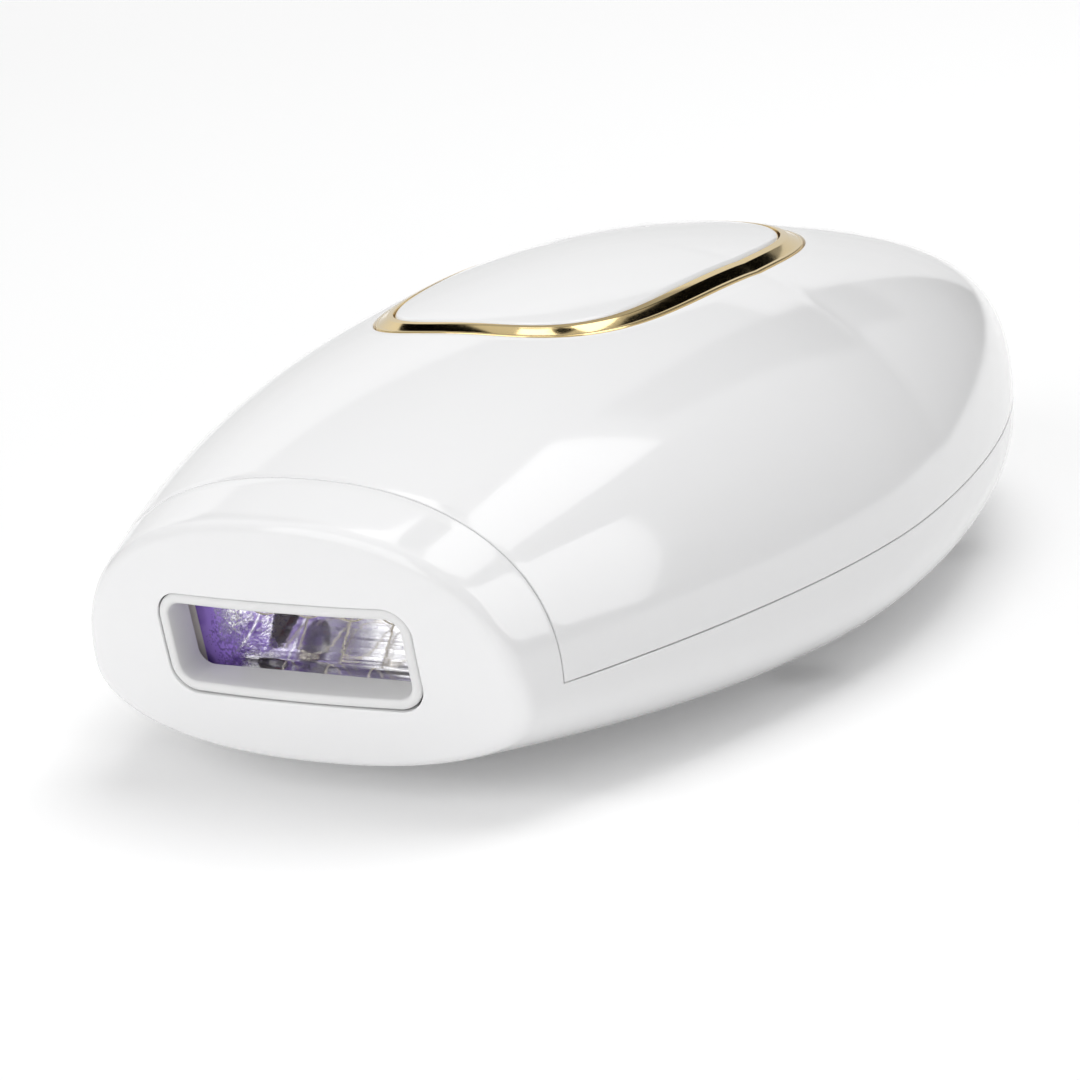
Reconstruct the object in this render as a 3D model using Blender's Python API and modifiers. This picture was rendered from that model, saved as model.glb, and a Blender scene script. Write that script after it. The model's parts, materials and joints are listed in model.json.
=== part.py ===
"""IPL hair remover: a hand-held flash-lamp epilator, modelled piece by piece.

Run in Blender 4.5.  Metres, +Z up.  The nose with the light window points to -Y, the tail to +Y.
The origin is at the middle of the resting footprint.  Inside the functions, y is measured
backwards from the nose plane, and an empty called nose_datum carries everything to its place.
"""

import math

import bpy
import bmesh
from mathutils import Matrix, Vector

# ------------------------------------------------------------------ driving dimensions (metres)

# Casing, seen from above: widest at WIDEST of the length, rounded off to the tail.
LENGTH = 0.1492            # nose plane to tail
HALF_WIDTH = 0.040
NOSE_HALF_WIDTH = 0.0242
WIDEST = 0.421
NOSE_FLARE = 1.755
TAIL_POWER = 1.787
TAIL_ROUND = 2.033

# Casing, seen from the side.
CROWN = 0.0430
NOSE_CROWN = 0.0306
HIGHEST = 0.482
CROWN_RISE = 2.006
CROWN_POWER = 1.626
CROWN_ROUND = 2.027
KEEL_NOSE_LIFT = 0.0048    # how far the keel rises from its lowest line to the nose
KEEL_DIP = 0.00035         # how much of the belly is flattened, so that it stands
LOWEST = 0.444
KEEL_POWER = 2.013
PARTING = 0.01492          # height of the joint between the casings, at mid length
PARTING_RISE = 0.0036      # climb of that joint from nose to tail

# Squareness of the cross-sections (2 is an ellipse).
UPPER_POWER_NOSE, UPPER_POWER_MID, UPPER_POWER_TAIL = 2.292, 1.923, 2.946
LOWER_POWER_NOSE, LOWER_POWER = 2.235, 2.935
LOWER_BLEND = 0.4          # share of the length over which the keel squares up

WALL = 0.0020
GAP = 0.0003               # clearance between neighbours
SEAM = 0.00584             # nose plane to the front edge of the upper casing
SEAM_BOW = 0.0012          # how far the sides of that edge lie behind its middle

# Nose face: a tilted, slightly bulged superellipse.
TILT = math.radians(11.13)
FACE_Z = 0.01583
FACE_HALF_WIDTH = 0.0240
FACE_UP, FACE_DOWN = 0.01397, 0.01158
FACE_POWER_UP, FACE_POWER_DOWN = 1.939, 3.24
BULGE_X, BULGE_Z = 3.184, 3.878     # 1/m: set-back of the face is BULGE_X x^2 + BULGE_Z h^2
FACE_EDGE = 0.0010         # depth of the rounded edge round the face

# Light window in the nose face.
WINDOW_Z = 0.01625
WINDOW_HALF_X, WINDOW_HALF_Z, WINDOW_RADIUS = 0.0148, 0.0056, 0.0030

# Key on the crown and its trim ring: superellipses seen from above.
KEY_Y = 0.0690
RING_HALF_X, RING_HALF_Y, RING_POWER = 0.0175, 0.03114, 3.14
RING_BAND = 0.00266
RING_RISE = 0.00034
KEY_TRAVEL = 0.0006
SEAT_Z = CROWN - 0.0024    # underside of the key's spring seat

# Contact frame round the window, which slides inwards when pressed on skin.
FRAME_TRAVEL = 0.0008
FRAME_WALL = 0.0010

# Lamp module, along the window's axis (d is the depth behind the face, h the height on it).
FRAME_DEPTH = 0.0044
SPRING_SHELF = 0.0074
HOLDER_FRONT, HOLDER_BACK = 0.0055, 0.0194
HOLDER_HALF_X, HOLDER_HALF_H = 0.0166, 0.0088
CAVITY_HALF_X, CAVITY_HALF_H = 0.0145, 0.0065
GLASS_FRONT, GLASS_THICK = 0.0056, 0.0015
LAMP_D, LAMP_H = 0.0125, 0.0008
LAMP_RADIUS, LAMP_BORE = 0.00275, 0.00205
LAMP_HALF_LENGTH = 0.0200
TRIGGER_TURNS = 5
REFLECTOR_SHEET = 0.0004

# Electronics and cooling.
BOARD_Z, BOARD_THICK = 0.0080, 0.0016
CONTROL_Z = 0.0314
SWITCH_FOOT = CONTROL_Z + BOARD_THICK + GAP
SWITCH_BODY = 0.0033       # height of the flash switch without its plunger
PLUNGER_TOP = SWITCH_FOOT + 0.0042
FAN_Y, FAN_Z, FAN_HALF, FAN_DEPTH = 0.0420, 0.0197, 0.0150, 0.0100
CAPACITOR_RADIUS, CAPACITOR_LENGTH = 0.0100, 0.0400
INLET_Z = 0.0167
INLET_MOUTH = 0.0040       # radius of the hole in the tail

# Screws, as x and y: casing screws stand on both sides, control board screws beside the key.
CASING_SCREWS = ((0.030, 0.054), (0.027, 0.104))
BOARD_SCREWS = ((-0.0215, 0.058), (0.0215, 0.058), (0.0, 0.1185))
CONTROL_SCREWS = ((-0.0215, KEY_Y - 0.009), (0.0215, KEY_Y + 0.009))

ROUND = 48                 # points round a closed outline of the casing
RING_ROUND = 40            # points round the key and its trim
ROWS = 14                  # rows of the casing behind the seam

COLOURS = {
    # name: (colour, roughness, metallic, transmission)
    "white_gloss_abs": ((0.86, 0.86, 0.86), 0.18, 0.0, 0.0),
    "pale_gold": ((0.83, 0.65, 0.33), 0.16, 1.0, 0.0),
    "light_grey_pc": ((0.62, 0.62, 0.63), 0.35, 0.0, 0.0),
    "cream_pbt": ((0.78, 0.75, 0.68), 0.50, 0.0, 0.0),
    "filter_glass": ((0.80, 0.76, 0.92), 0.03, 0.0, 0.9),
    "quartz": ((0.95, 0.95, 0.97), 0.02, 0.0, 0.95),
    "mirror_aluminium": ((0.86, 0.86, 0.88), 0.08, 1.0, 0.0),
    "plain_aluminium": ((0.62, 0.63, 0.64), 0.38, 1.0, 0.0),
    "tungsten": ((0.45, 0.44, 0.42), 0.35, 1.0, 0.0),
    "nickel_wire": ((0.72, 0.70, 0.66), 0.25, 1.0, 0.0),
    "silicone": ((0.80, 0.28, 0.20), 0.60, 0.0, 0.0),
    "spring_steel": ((0.55, 0.55, 0.56), 0.28, 1.0, 0.0),
    "screw_steel": ((0.42, 0.42, 0.43), 0.35, 1.0, 0.0),
    "circuit_board": ((0.05, 0.22, 0.10), 0.45, 0.0, 0.0),
    "black_plastic": ((0.03, 0.03, 0.03), 0.45, 0.0, 0.0),
    "capacitor_sleeve": ((0.05, 0.06, 0.12), 0.35, 0.0, 0.0),
    "ferrite": ((0.09, 0.09, 0.10), 0.60, 0.0, 0.0),
    "copper_winding": ((0.72, 0.38, 0.18), 0.40, 1.0, 0.0),
    "red_lead": ((0.62, 0.05, 0.04), 0.45, 0.0, 0.0),
    "white_lead": ((0.80, 0.80, 0.78), 0.45, 0.0, 0.0),
    "brass": ((0.80, 0.62, 0.30), 0.25, 1.0, 0.0),
}


# ------------------------------------------------------------------ shape of the body

def power(value, exponent):
    """Signed power of a sine or cosine."""
    return math.copysign(abs(value) ** exponent, value)


def ease_out(t, outer, inner):
    """1 at t = 0, rounding off to 0 at t = 1."""
    return max(0.0, 1.0 - max(0.0, t) ** outer) ** (1.0 / inner)


def half_width(y):
    u = y / LENGTH
    if u > WIDEST:
        return HALF_WIDTH * ease_out((u - WIDEST) / (1 - WIDEST), TAIL_POWER, TAIL_ROUND)
    narrowing = ((WIDEST - u) / WIDEST) ** NOSE_FLARE
    return HALF_WIDTH - (HALF_WIDTH - NOSE_HALF_WIDTH) * narrowing


def parting(y):
    return PARTING + PARTING_RISE * (y / LENGTH - 0.5)


def crown(y):
    u = y / LENGTH
    if u > HIGHEST:
        height = ease_out((u - HIGHEST) / (1 - HIGHEST), CROWN_POWER, CROWN_ROUND)
        return parting(y) + (CROWN - parting(y)) * height
    return CROWN - (CROWN - NOSE_CROWN) * ((HIGHEST - u) / HIGHEST) ** CROWN_RISE


def keel(y):
    u = y / LENGTH
    if u > LOWEST:
        depth = ease_out((u - LOWEST) / (1 - LOWEST), KEEL_POWER, 2.0)
        return parting(y) - (parting(y) + KEEL_DIP) * depth
    return KEEL_NOSE_LIFT * ((LOWEST - u) / LOWEST) ** 2 - KEEL_DIP


def upper_power(y):
    u = y / LENGTH
    if u < 0.5:
        return UPPER_POWER_NOSE + (UPPER_POWER_MID - UPPER_POWER_NOSE) * 2 * u
    return UPPER_POWER_MID + (UPPER_POWER_TAIL - UPPER_POWER_MID) * (2 * u - 1)


def lower_power(y):
    blend = max(0.0, 1 - y / LENGTH / LOWER_BLEND) ** 2
    return LOWER_POWER + (LOWER_POWER_NOSE - LOWER_POWER) * blend


def body_point(y, angle):
    """Point of the outer surface; angle 0 is the +X end of the parting line, 90 degrees the crown."""
    c, s = math.cos(angle), math.sin(angle)
    base = parting(y)
    if s >= 0:
        squareness = 2 / upper_power(y)
        z = base + (crown(y) - base) * abs(s) ** squareness
    else:
        squareness = 2 / lower_power(y)
        z = base - (base - keel(y)) * abs(s) ** squareness
    return Vector((half_width(y) * power(c, squareness), y, max(z, 0.0)))


def crown_at(x, y):
    """Height of the upper casing above the point x, y."""
    n = upper_power(y)
    across = min(1.0, abs(x) / half_width(y))
    return parting(y) + (crown(y) - parting(y)) * (1 - across ** n) ** (1 / n)


def face_setback(x, h):
    """How far the bulged face lies behind its tangent plane."""
    return BULGE_X * x * x + BULGE_Z * h * h


def face_point(angle, scale=1.0):
    """Point of the nose face on its outline, or on a smaller copy of it."""
    c, s = math.cos(angle), math.sin(angle)
    reach, squareness = (FACE_UP, 2 / FACE_POWER_UP) if s >= 0 else (FACE_DOWN, 2 / FACE_POWER_DOWN)
    x = scale * FACE_HALF_WIDTH * power(c, squareness)
    h = scale * reach * power(s, squareness)
    return Vector((x, face_setback(x, h) - h * math.sin(TILT), FACE_Z + h * math.cos(TILT)))


def seam_y(angle):
    """Front edge of the upper casing, bowed so that its sides lie behind its middle."""
    return SEAM + SEAM_BOW * math.cos(angle) ** 2


NOSE_TIP = face_point(math.pi / 2).y
MOUTH_SHARE = (1 - (INLET_MOUTH / HALF_WIDTH) ** TAIL_ROUND) ** (1 / TAIL_POWER)
TAIL_TIP = LENGTH * (WIDEST + (1 - WIDEST) * MOUTH_SHARE)
DATUM = Vector((0.0, -(TAIL_TIP + NOSE_TIP) / 2, 0.0))
WINDOW_H = (WINDOW_Z - FACE_Z) / math.cos(TILT)


# ------------------------------------------------------------------ scene helpers

def clear_scene():
    for obj in list(bpy.data.objects):
        bpy.data.objects.remove(obj, do_unlink=True)


def new_collection(name):
    collection = bpy.data.collections.new(name)
    bpy.context.scene.collection.children.link(collection)
    return collection


def new_material(name):
    colour, roughness, metallic, transmission = COLOURS[name]
    material = bpy.data.materials.new(name)
    material.use_nodes = True
    shader = material.node_tree.nodes["Principled BSDF"]
    shader.inputs["Base Color"].default_value = (*colour, 1.0)
    shader.inputs["Roughness"].default_value = roughness
    shader.inputs["Metallic"].default_value = metallic
    shader.inputs["Transmission Weight"].default_value = transmission
    return material


def place(obj, parent, material=None, location=(0, 0, 0), rotation=(0, 0, 0)):
    """Puts an object in the parts collection, or among the cutters when it has no material."""
    for collection in obj.users_collection:
        collection.objects.unlink(obj)
    if material is None:
        CUTTERS.objects.link(obj)
        obj.hide_render = True
        obj.display_type = 'WIRE'
    else:
        PARTS.objects.link(obj)
        obj.data.materials.clear()
        obj.data.materials.append(MATERIALS[material])
    obj.parent = parent
    obj.location = location
    obj.rotation_euler = rotation
    return obj


def smooth(obj, angle=35):
    obj.data.shade_smooth()
    obj.data.set_sharp_from_angle(angle=math.radians(angle))
    return obj


def mesh_object(name, bm, parent, material=None, **where):
    mesh = bpy.data.meshes.new(name)
    bm.to_mesh(mesh)
    bm.free()
    return smooth(place(bpy.data.objects.new(name, mesh), parent, material, **where))


def box(name, size, parent, material=None, bevel=0.0, **where):
    bpy.ops.mesh.primitive_cube_add(size=1)
    obj = bpy.context.object
    obj.name = name
    obj.data.transform(Matrix.Diagonal((*size, 1)))
    if bevel:
        edge = obj.modifiers.new("rounded_edges", 'BEVEL')
        edge.width = bevel
        edge.segments = 1
    return place(obj, parent, material, **where)


def cylinder(name, radius, depth, parent, material=None, sides=24, **where):
    bpy.ops.mesh.primitive_cylinder_add(vertices=sides, radius=radius, depth=depth)
    obj = bpy.context.object
    obj.name = name
    return smooth(place(obj, parent, material, **where))


def turned(name, profile, parent, material, sides=24, **where):
    """Solid of revolution about local Z; the profile runs down the outer side."""
    bm = bmesh.new()
    points = [bm.verts.new((radius, 0, height)) for radius, height in profile]
    for first, second in zip(points, points[1:]):
        bm.edges.new((first, second))
    mesh = bpy.data.meshes.new(name)
    bm.to_mesh(mesh)
    bm.free()
    obj = place(bpy.data.objects.new(name, mesh), parent, material, **where)
    screw = obj.modifiers.new("turn", 'SCREW')
    screw.steps = screw.render_steps = sides
    screw.use_merge_vertices = True
    screw.merge_threshold = 0.00001
    screw.use_smooth_shade = True
    return obj


def tube(name, points, radius, parent, material, **where):
    """Round wire along a row of points, with filled ends."""
    curve = bpy.data.curves.new(name, 'CURVE')
    curve.dimensions = '3D'
    curve.bevel_depth = radius
    curve.bevel_resolution = 2
    curve.use_fill_caps = True
    spline = curve.splines.new('POLY')
    spline.points.add(len(points) - 1)
    for target, point in zip(spline.points, points):
        target.co = (*point, 1.0)
    return place(bpy.data.objects.new(name, curve), parent, material, **where)


def plate(name, outlines, thickness, parent, material=None, **where):
    """Flat plate in local XY with straight sides; outlines after the first are holes."""
    curve = bpy.data.curves.new(name, 'CURVE')
    curve.dimensions = '2D'
    curve.fill_mode = 'BOTH'
    curve.extrude = thickness / 2
    for outline in outlines:
        spline = curve.splines.new('POLY')
        spline.points.add(len(outline) - 1)
        spline.use_cyclic_u = True
        for target, point in zip(spline.points, outline):
            target.co = (point[0], point[1], 0.0, 1.0)
    drawn = bpy.data.objects.new(name, curve)
    PARTS.objects.link(drawn)
    flat = drawn.evaluated_get(bpy.context.evaluated_depsgraph_get())
    mesh = bpy.data.meshes.new_from_object(flat)
    bpy.data.objects.remove(drawn)
    bm = bmesh.new()
    bm.from_mesh(mesh)
    bmesh.ops.remove_doubles(bm, verts=bm.verts, dist=0.00001)
    bm.to_mesh(mesh)
    bm.free()
    return place(bpy.data.objects.new(name, mesh), parent, material, **where)


def combine(obj, operation, *others):
    for other in others:
        modifier = obj.modifiers.new(operation.lower() + "_" + other.name, 'BOOLEAN')
        modifier.operation = operation
        modifier.object = other
    return obj


def joined(name, objects):
    """One cutter or helper holding several separate solids, in the same parent's frame."""
    bm = bmesh.new()
    for obj in objects:
        piece = bmesh.new()
        piece.from_mesh(obj.data)
        piece.transform(obj.matrix_basis)
        mesh = bpy.data.meshes.new("piece")
        piece.to_mesh(mesh)
        piece.free()
        bm.from_mesh(mesh)
        bpy.data.meshes.remove(mesh)
    parent = objects[0].parent
    for obj in objects:
        bpy.data.objects.remove(obj, do_unlink=True)
    return mesh_object(name, bm, parent)


def rounded_rectangle(half_x, half_y, radius, steps=4):
    points = []
    for quarter in range(4):
        sign_x = 1 if quarter in (0, 3) else -1
        sign_y = 1 if quarter in (0, 1) else -1
        for step in range(steps + 1):
            angle = (quarter + step / steps) * math.pi / 2
            points.append((sign_x * (half_x - radius) + radius * math.cos(angle),
                           sign_y * (half_y - radius) + radius * math.sin(angle)))
    return points


def superellipse(half_x, half_y, exponent, count=RING_ROUND):
    points = []
    for index in range(count):
        angle = 2 * math.pi * index / count
        points.append((half_x * power(math.cos(angle), 2 / exponent),
                       half_y * power(math.sin(angle), 2 / exponent)))
    return points


def skin(rings, closed=True):
    """Surface through rings of equal length; a ring of one point is a pole."""
    bm = bmesh.new()
    rows = [[bm.verts.new(point) for point in ring] for ring in rings]
    for near, far in zip(rows, rows[1:]):
        count = max(len(near), len(far))
        for index in range(count if closed else count - 1):
            after = (index + 1) % count
            corners = [near[index % len(near)], near[after % len(near)],
                       far[after % len(far)], far[index % len(far)]]
            bm.faces.new(list(dict.fromkeys(corners)))
    return bm


def hoop(rings):
    """Closed ring-shaped solid through a loop of rings."""
    bm = skin(rings)
    bm.verts.ensure_lookup_table()
    count = len(rings[0])
    last = (len(rings) - 1) * count
    for index in range(count):
        after = (index + 1) % count
        bm.faces.new([bm.verts[last + index], bm.verts[last + after],
                      bm.verts[after], bm.verts[index]])
    bmesh.ops.recalc_face_normals(bm, faces=bm.faces)
    return bm


def arc(start, stop, steps):
    return [math.radians(start + (stop - start) * step / steps) for step in range(steps + 1)]


# ------------------------------------------------------------------ casings

def shell(name, bm):
    """Half of a casing's outer skin, mirrored and given its wall inwards."""
    obj = mesh_object(name, bm, DATUM_EMPTY, "white_gloss_abs")
    mirror = obj.modifiers.new("other_half", 'MIRROR')
    mirror.merge_threshold = 0.00001
    wall = obj.modifiers.new("wall", 'SOLIDIFY')
    wall.thickness = WALL
    wall.offset = -1
    wall.use_even_offset = True
    return obj


def rim_cutter(name, side):
    """Block on one side of the parting plane, behind the seam, that trims a casing's rim."""
    front, height = SEAM + SEAM_BOW, 0.060
    length = LENGTH + 0.010 - front
    middle = front + length / 2
    offset = side * (height - GAP) / 2
    return box(name, (0.100, length, height), DATUM_EMPTY,
               rotation=(math.atan(PARTING_RISE / LENGTH), 0, 0),
               location=(0, middle, parting(middle) + offset))


def rows_to_tail(angles, edge_gap):
    """Rows of the casing from its front edge at the seam to the tail."""
    rings = []
    for row in range(ROWS):
        share = math.sin(math.pi / 2 * row / ROWS)
        ring = []
        for angle in angles:
            start = seam_y(angle) + edge_gap
            ring.append(body_point(start + (LENGTH - start) * share, angle))
        rings.append(ring)
    rings.append([Vector((0, LENGTH, parting(LENGTH)))])
    return rings


def envelope():
    """Closed copy of the outer surface, half a wall smaller, that trims bosses and ribs."""
    inset = WALL / 2
    mid = CROWN / 2
    rings = []
    for row in range(ROWS + 1):
        y = LENGTH * math.sin(math.pi / 2 * (0.02 + 0.98 * row / ROWS))
        rings.append([body_point(min(y, LENGTH * 0.9999), 2 * math.pi * index / ROUND)
                      for index in range(ROUND)])
    rings.insert(0, [Vector((0, rings[0][0].y, PARTING))])
    rings[-1] = [Vector((0, LENGTH, parting(LENGTH)))]
    bm = skin(rings)
    bmesh.ops.recalc_face_normals(bm, faces=bm.faces)
    shrink = Matrix.Diagonal((1 - inset / HALF_WIDTH, 1 - 2 * inset / LENGTH, 1 - inset / mid, 1))
    centre = Vector((0, LENGTH / 2, mid))
    bm.transform(Matrix.Translation(centre) @ shrink @ Matrix.Translation(-centre))
    return mesh_object("envelope", bm, DATUM_EMPTY)


def screw_places():
    return [(side * x, y) for x, y in CASING_SCREWS for side in (-1, 1)]


def upper_casing(inside, inlet_hole):
    steps = ROUND // 4
    rings = rows_to_tail(arc(90, 0, steps), GAP / 2)
    obj = shell("upper_casing", skin(rings, closed=False))
    pillars = []
    pilots = []
    for x, y in screw_places():
        foot = parting(y) + GAP
        pillars.append(cylinder("pillar", 0.0032, 0.030, DATUM_EMPTY, sides=16,
                                location=(x, y, foot + 0.015)))
        pilots.append(cylinder("pilot", 0.0015, 0.010, DATUM_EMPTY, sides=12,
                               location=(x, y, foot + 0.004)))
    for x, y in CONTROL_SCREWS:
        pillars.append(cylinder("post", 0.0021, 0.012, DATUM_EMPTY, sides=12,
                                location=(x, y, SWITCH_FOOT + 0.006)))
        pilots.append(cylinder("post_pilot", 0.0011, 0.005, DATUM_EMPTY, sides=8,
                               location=(x, y, SWITCH_FOOT + 0.001)))
    bosses = combine(joined("upper_bosses", pillars), 'INTERSECT', inside)
    opening = plate("key_opening", [superellipse(RING_HALF_X + GAP, RING_HALF_Y + GAP, RING_POWER)],
                    0.020, DATUM_EMPTY, location=(0, KEY_Y, CROWN))
    combine(obj, 'UNION', bosses)
    return combine(obj, 'DIFFERENCE', rim_cutter("below_parting", -1), opening, inlet_hole,
                   joined("upper_pilots", pilots))


def lower_casing(inside, inlet_hole):
    steps = ROUND // 4
    whole, under = arc(90, -90, 2 * steps), arc(0, -90, steps)
    rings = [[face_point(0, 0)]]
    rings += [[face_point(angle, scale) for angle in whole] for scale in (0.4, 0.8, 1.0)]
    for share in (0.0, 0.5, 1.0):
        ring = []
        for angle in whole:
            start = face_point(angle).y + FACE_EDGE
            ring.append(body_point(start + (seam_y(angle) - GAP / 2 - start) * share, angle))
        rings.append(ring)
    bm = skin(rings, closed=False)
    bm.verts.ensure_lookup_table()
    seam_row = bm.verts[len(bm.verts) - len(under):]
    for ring in rows_to_tail(under, -GAP / 2)[1:]:
        new_row = [bm.verts.new(point) for point in ring]
        for index in range(len(under) - 1):
            corners = [seam_row[index], seam_row[index + 1],
                       new_row[(index + 1) % len(new_row)], new_row[index % len(new_row)]]
            bm.faces.new(list(dict.fromkeys(corners)))
        seam_row = new_row
    obj = shell("lower_casing", bm)
    supports, shafts, heads = [], [], []
    for x, y in screw_places():
        top = parting(y) - GAP
        supports.append(cylinder("boss", 0.0036, 0.016, DATUM_EMPTY, sides=16,
                                 location=(x, y, top - 0.008)))
        shafts.append(cylinder("shaft_hole", 0.0019, 0.030, DATUM_EMPTY, sides=12,
                               location=(x, y, top - 0.010)))
        heads.append(cylinder("head_hole", 0.0031, 0.012, DATUM_EMPTY, sides=16,
                              location=(x, y, screw_head_z(y) - 0.006 + GAP)))
    for x, y in BOARD_SCREWS:
        supports.append(cylinder("standoff", 0.0024, 0.010, DATUM_EMPTY, sides=12,
                                 location=(x, y, BOARD_Z - GAP - 0.005)))
        shafts.append(cylinder("standoff_pilot", 0.0011, 0.005, DATUM_EMPTY, sides=8,
                               location=(x, y, BOARD_Z - 0.0015)))
    for y in (FAN_Y - 0.003, FAN_Y + 0.003):
        supports.append(box("fan_rib", (0.022, 0.0016, 0.010), DATUM_EMPTY,
                            location=(0, y, FAN_Z - FAN_HALF - GAP - 0.005)))
    for depth in (0.0105, 0.0165):
        foot = window_to_datum(Vector((0, depth, -HOLDER_HALF_H - GAP)))
        supports.append(box("holder_rib", (0.024, 0.0016, 0.012), DATUM_EMPTY,
                            rotation=(TILT, 0, 0), location=foot + Vector((0, 0, -0.006))))
    ribs = combine(joined("lower_supports", supports), 'INTERSECT', inside)
    window = plate("window_opening",
                   [rounded_rectangle(WINDOW_HALF_X, WINDOW_HALF_Z, WINDOW_RADIUS)],
                   0.010, WINDOW_EMPTY, rotation=(math.pi / 2, 0, 0), location=(0, 0.001, 0))
    slots = []
    for row in range(6):
        slots.append(box("intake", (0.026, 0.0020, 0.012), DATUM_EMPTY,
                         location=(0, 0.094 + 0.004 * row, 0.003)))
    for row in range(4):
        slots.append(box("outlet", (0.020, 0.0020, 0.012), DATUM_EMPTY,
                         location=(0, 0.022 + 0.004 * row, 0.003)))
    combine(obj, 'UNION', ribs)
    return combine(obj, 'DIFFERENCE', rim_cutter("above_parting", 1), inlet_hole, window,
                   joined("vents", slots),
                   joined("shaft_holes", shafts), joined("head_holes", heads))


def window_to_datum(point):
    return WINDOW_ORIGIN + Matrix.Rotation(TILT, 3, 'X') @ point


def screw_head_z(y):
    """Seat of a casing screw's head, above the lower casing's underside."""
    return parting(y) - 0.0065


# ------------------------------------------------------------------ key and trim ring

def outline_ring(outset, drop, scale=1.0):
    """Ring of points that lies on the crown: outset from the trim's outer edge, drop below it."""
    outline = superellipse(RING_HALF_X + outset, RING_HALF_Y + outset, RING_POWER)
    return [Vector((scale * x, KEY_Y + scale * y, crown_at(scale * x, KEY_Y + scale * y) - drop))
            for x, y in outline]


def trim_ring():
    band, rise = RING_BAND, RING_RISE
    profile = [(-band, -rise), (-band / 2, -0.9 * rise), (-0.00035, 0.00002), (0, 0.00010),
               (0, 0.0027), (0.0012, 0.0027), (0.0012, 0.0035), (-0.0011, 0.0035),
               (-0.0011, 0.0022), (-band, 0.0022)]
    bm = hoop([outline_ring(outset, drop) for outset, drop in profile])
    return mesh_object("trim_ring", bm, DATUM_EMPTY, "pale_gold")


def flash_button():
    edge = -RING_BAND - 0.0002
    rise = RING_RISE + 0.0001
    rings = [[Vector((0, KEY_Y, crown_at(0, KEY_Y) + rise))]]
    rings += [outline_ring(edge, -rise, scale) for scale in (0.5, 0.85)]
    rings += [outline_ring(edge - 0.0003, -rise), outline_ring(edge, -RING_RISE + 0.0002),
              outline_ring(edge, 0.0026), outline_ring(edge + 0.0011, 0.0026),
              outline_ring(edge + 0.0011, 0.0034), outline_ring(edge - 0.0014, 0.0034),
              outline_ring(edge - 0.0014, 0.0016), outline_ring(edge, 0.0016, 0.5)]
    rings.append([Vector((0, KEY_Y, crown_at(0, KEY_Y) - 0.0016))])
    bm = skin(rings)
    bmesh.ops.recalc_face_normals(bm, faces=bm.faces)
    origin = Vector((0, KEY_Y, 0))
    bm.transform(Matrix.Translation(-origin))
    obj = mesh_object("flash_button", bm, DATUM_EMPTY, "white_gloss_abs", location=origin)
    seat = cylinder("spring_seat", 0.0064, 0.0020, DATUM_EMPTY, sides=20,
                    location=(0, KEY_Y, SEAT_Z + 0.0010))
    stem = cylinder("stem", 0.0020, 0.0040, DATUM_EMPTY, sides=16,
                    location=(0, KEY_Y, PLUNGER_TOP + GAP + 0.0020))
    return combine(obj, 'UNION', seat, stem)


def flash_switch():
    """Tact switch under the key, with the plunger that the key's stem pushes."""
    floor = 0.0006
    body = box("flash_switch", (0.0060, 0.0060, SWITCH_BODY), DATUM_EMPTY, "black_plastic",
               location=(0, KEY_Y, SWITCH_FOOT + SWITCH_BODY / 2))
    bore = cylinder("plunger_bore", 0.0018, 0.0040, DATUM_EMPTY, sides=16,
                    location=(0, KEY_Y, SWITCH_FOOT + floor + 0.0020))
    combine(body, 'DIFFERENCE', bore)
    length = PLUNGER_TOP - SWITCH_FOOT - floor - KEY_TRAVEL - GAP
    cylinder("flash_switch_plunger", 0.0015, length, DATUM_EMPTY, "white_lead", sides=16,
             location=(0, KEY_Y, PLUNGER_TOP - length / 2))


def helix(radius, height, turns, steps):
    """Coil about local Z, from 0 to height."""
    points = []
    for index in range(round(turns * steps) + 1):
        angle = 2 * math.pi * index / steps
        points.append(Vector((radius * math.cos(angle), radius * math.sin(angle),
                              height * index / (turns * steps))))
    return points


def button_spring():
    wire = 0.00025
    bottom = SWITCH_FOOT + wire
    height = SEAT_Z - GAP - wire - bottom
    tube("flash_button_spring", helix(0.0054, height, 3.5, 10), wire, DATUM_EMPTY, "spring_steel",
         location=(0, KEY_Y, bottom))


# ------------------------------------------------------------------ nose and lamp module

def window_tube(half_x, half_h, radius, depth=None):
    """Ring round the window's axis; with no depth it follows the bulge of the face."""
    ring = []
    for x, h in rounded_rectangle(half_x, half_h, radius):
        setback = face_setback(x, h + WINDOW_H) * math.cos(TILT)
        ring.append(Vector((x, setback if depth is None else depth, h)))
    return ring


def contact_frame():
    """Skin-contact frame that slides in the window, with its retaining flange."""
    outer = (WINDOW_HALF_X - 0.00025, WINDOW_HALF_Z - 0.00025, WINDOW_RADIUS - 0.00025)
    inner = tuple(size - FRAME_WALL for size in outer)
    rear = FRAME_DEPTH - 0.0001
    bm = hoop([window_tube(*outer), window_tube(*outer, rear),
               window_tube(*inner, rear), window_tube(*inner)])
    obj = mesh_object("contact_frame", bm, WINDOW_EMPTY, "light_grey_pc")
    ear, tab = 0.0022, 0.0026
    top = HOLDER_HALF_H + 0.0030
    outline = [(-0.0162, -0.0066), (0.0162, -0.0066), (0.0162, -ear), (0.0206, -ear),
               (0.0206, ear), (0.0162, ear), (0.0162, 0.0070), (tab, 0.0070), (tab, top),
               (-tab, top), (-tab, 0.0070), (-0.0162, 0.0070), (-0.0162, ear), (-0.0206, ear),
               (-0.0206, -ear), (-0.0162, -ear)]
    hole = rounded_rectangle(*(size - FRAME_WALL / 2 for size in outer))
    thick = 0.0007
    flange = plate("frame_flange", [outline, hole], thick, WINDOW_EMPTY,
                   rotation=(math.pi / 2, 0, 0), location=(0, FRAME_DEPTH - thick / 2, 0))
    return combine(obj, 'UNION', flange)


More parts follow.
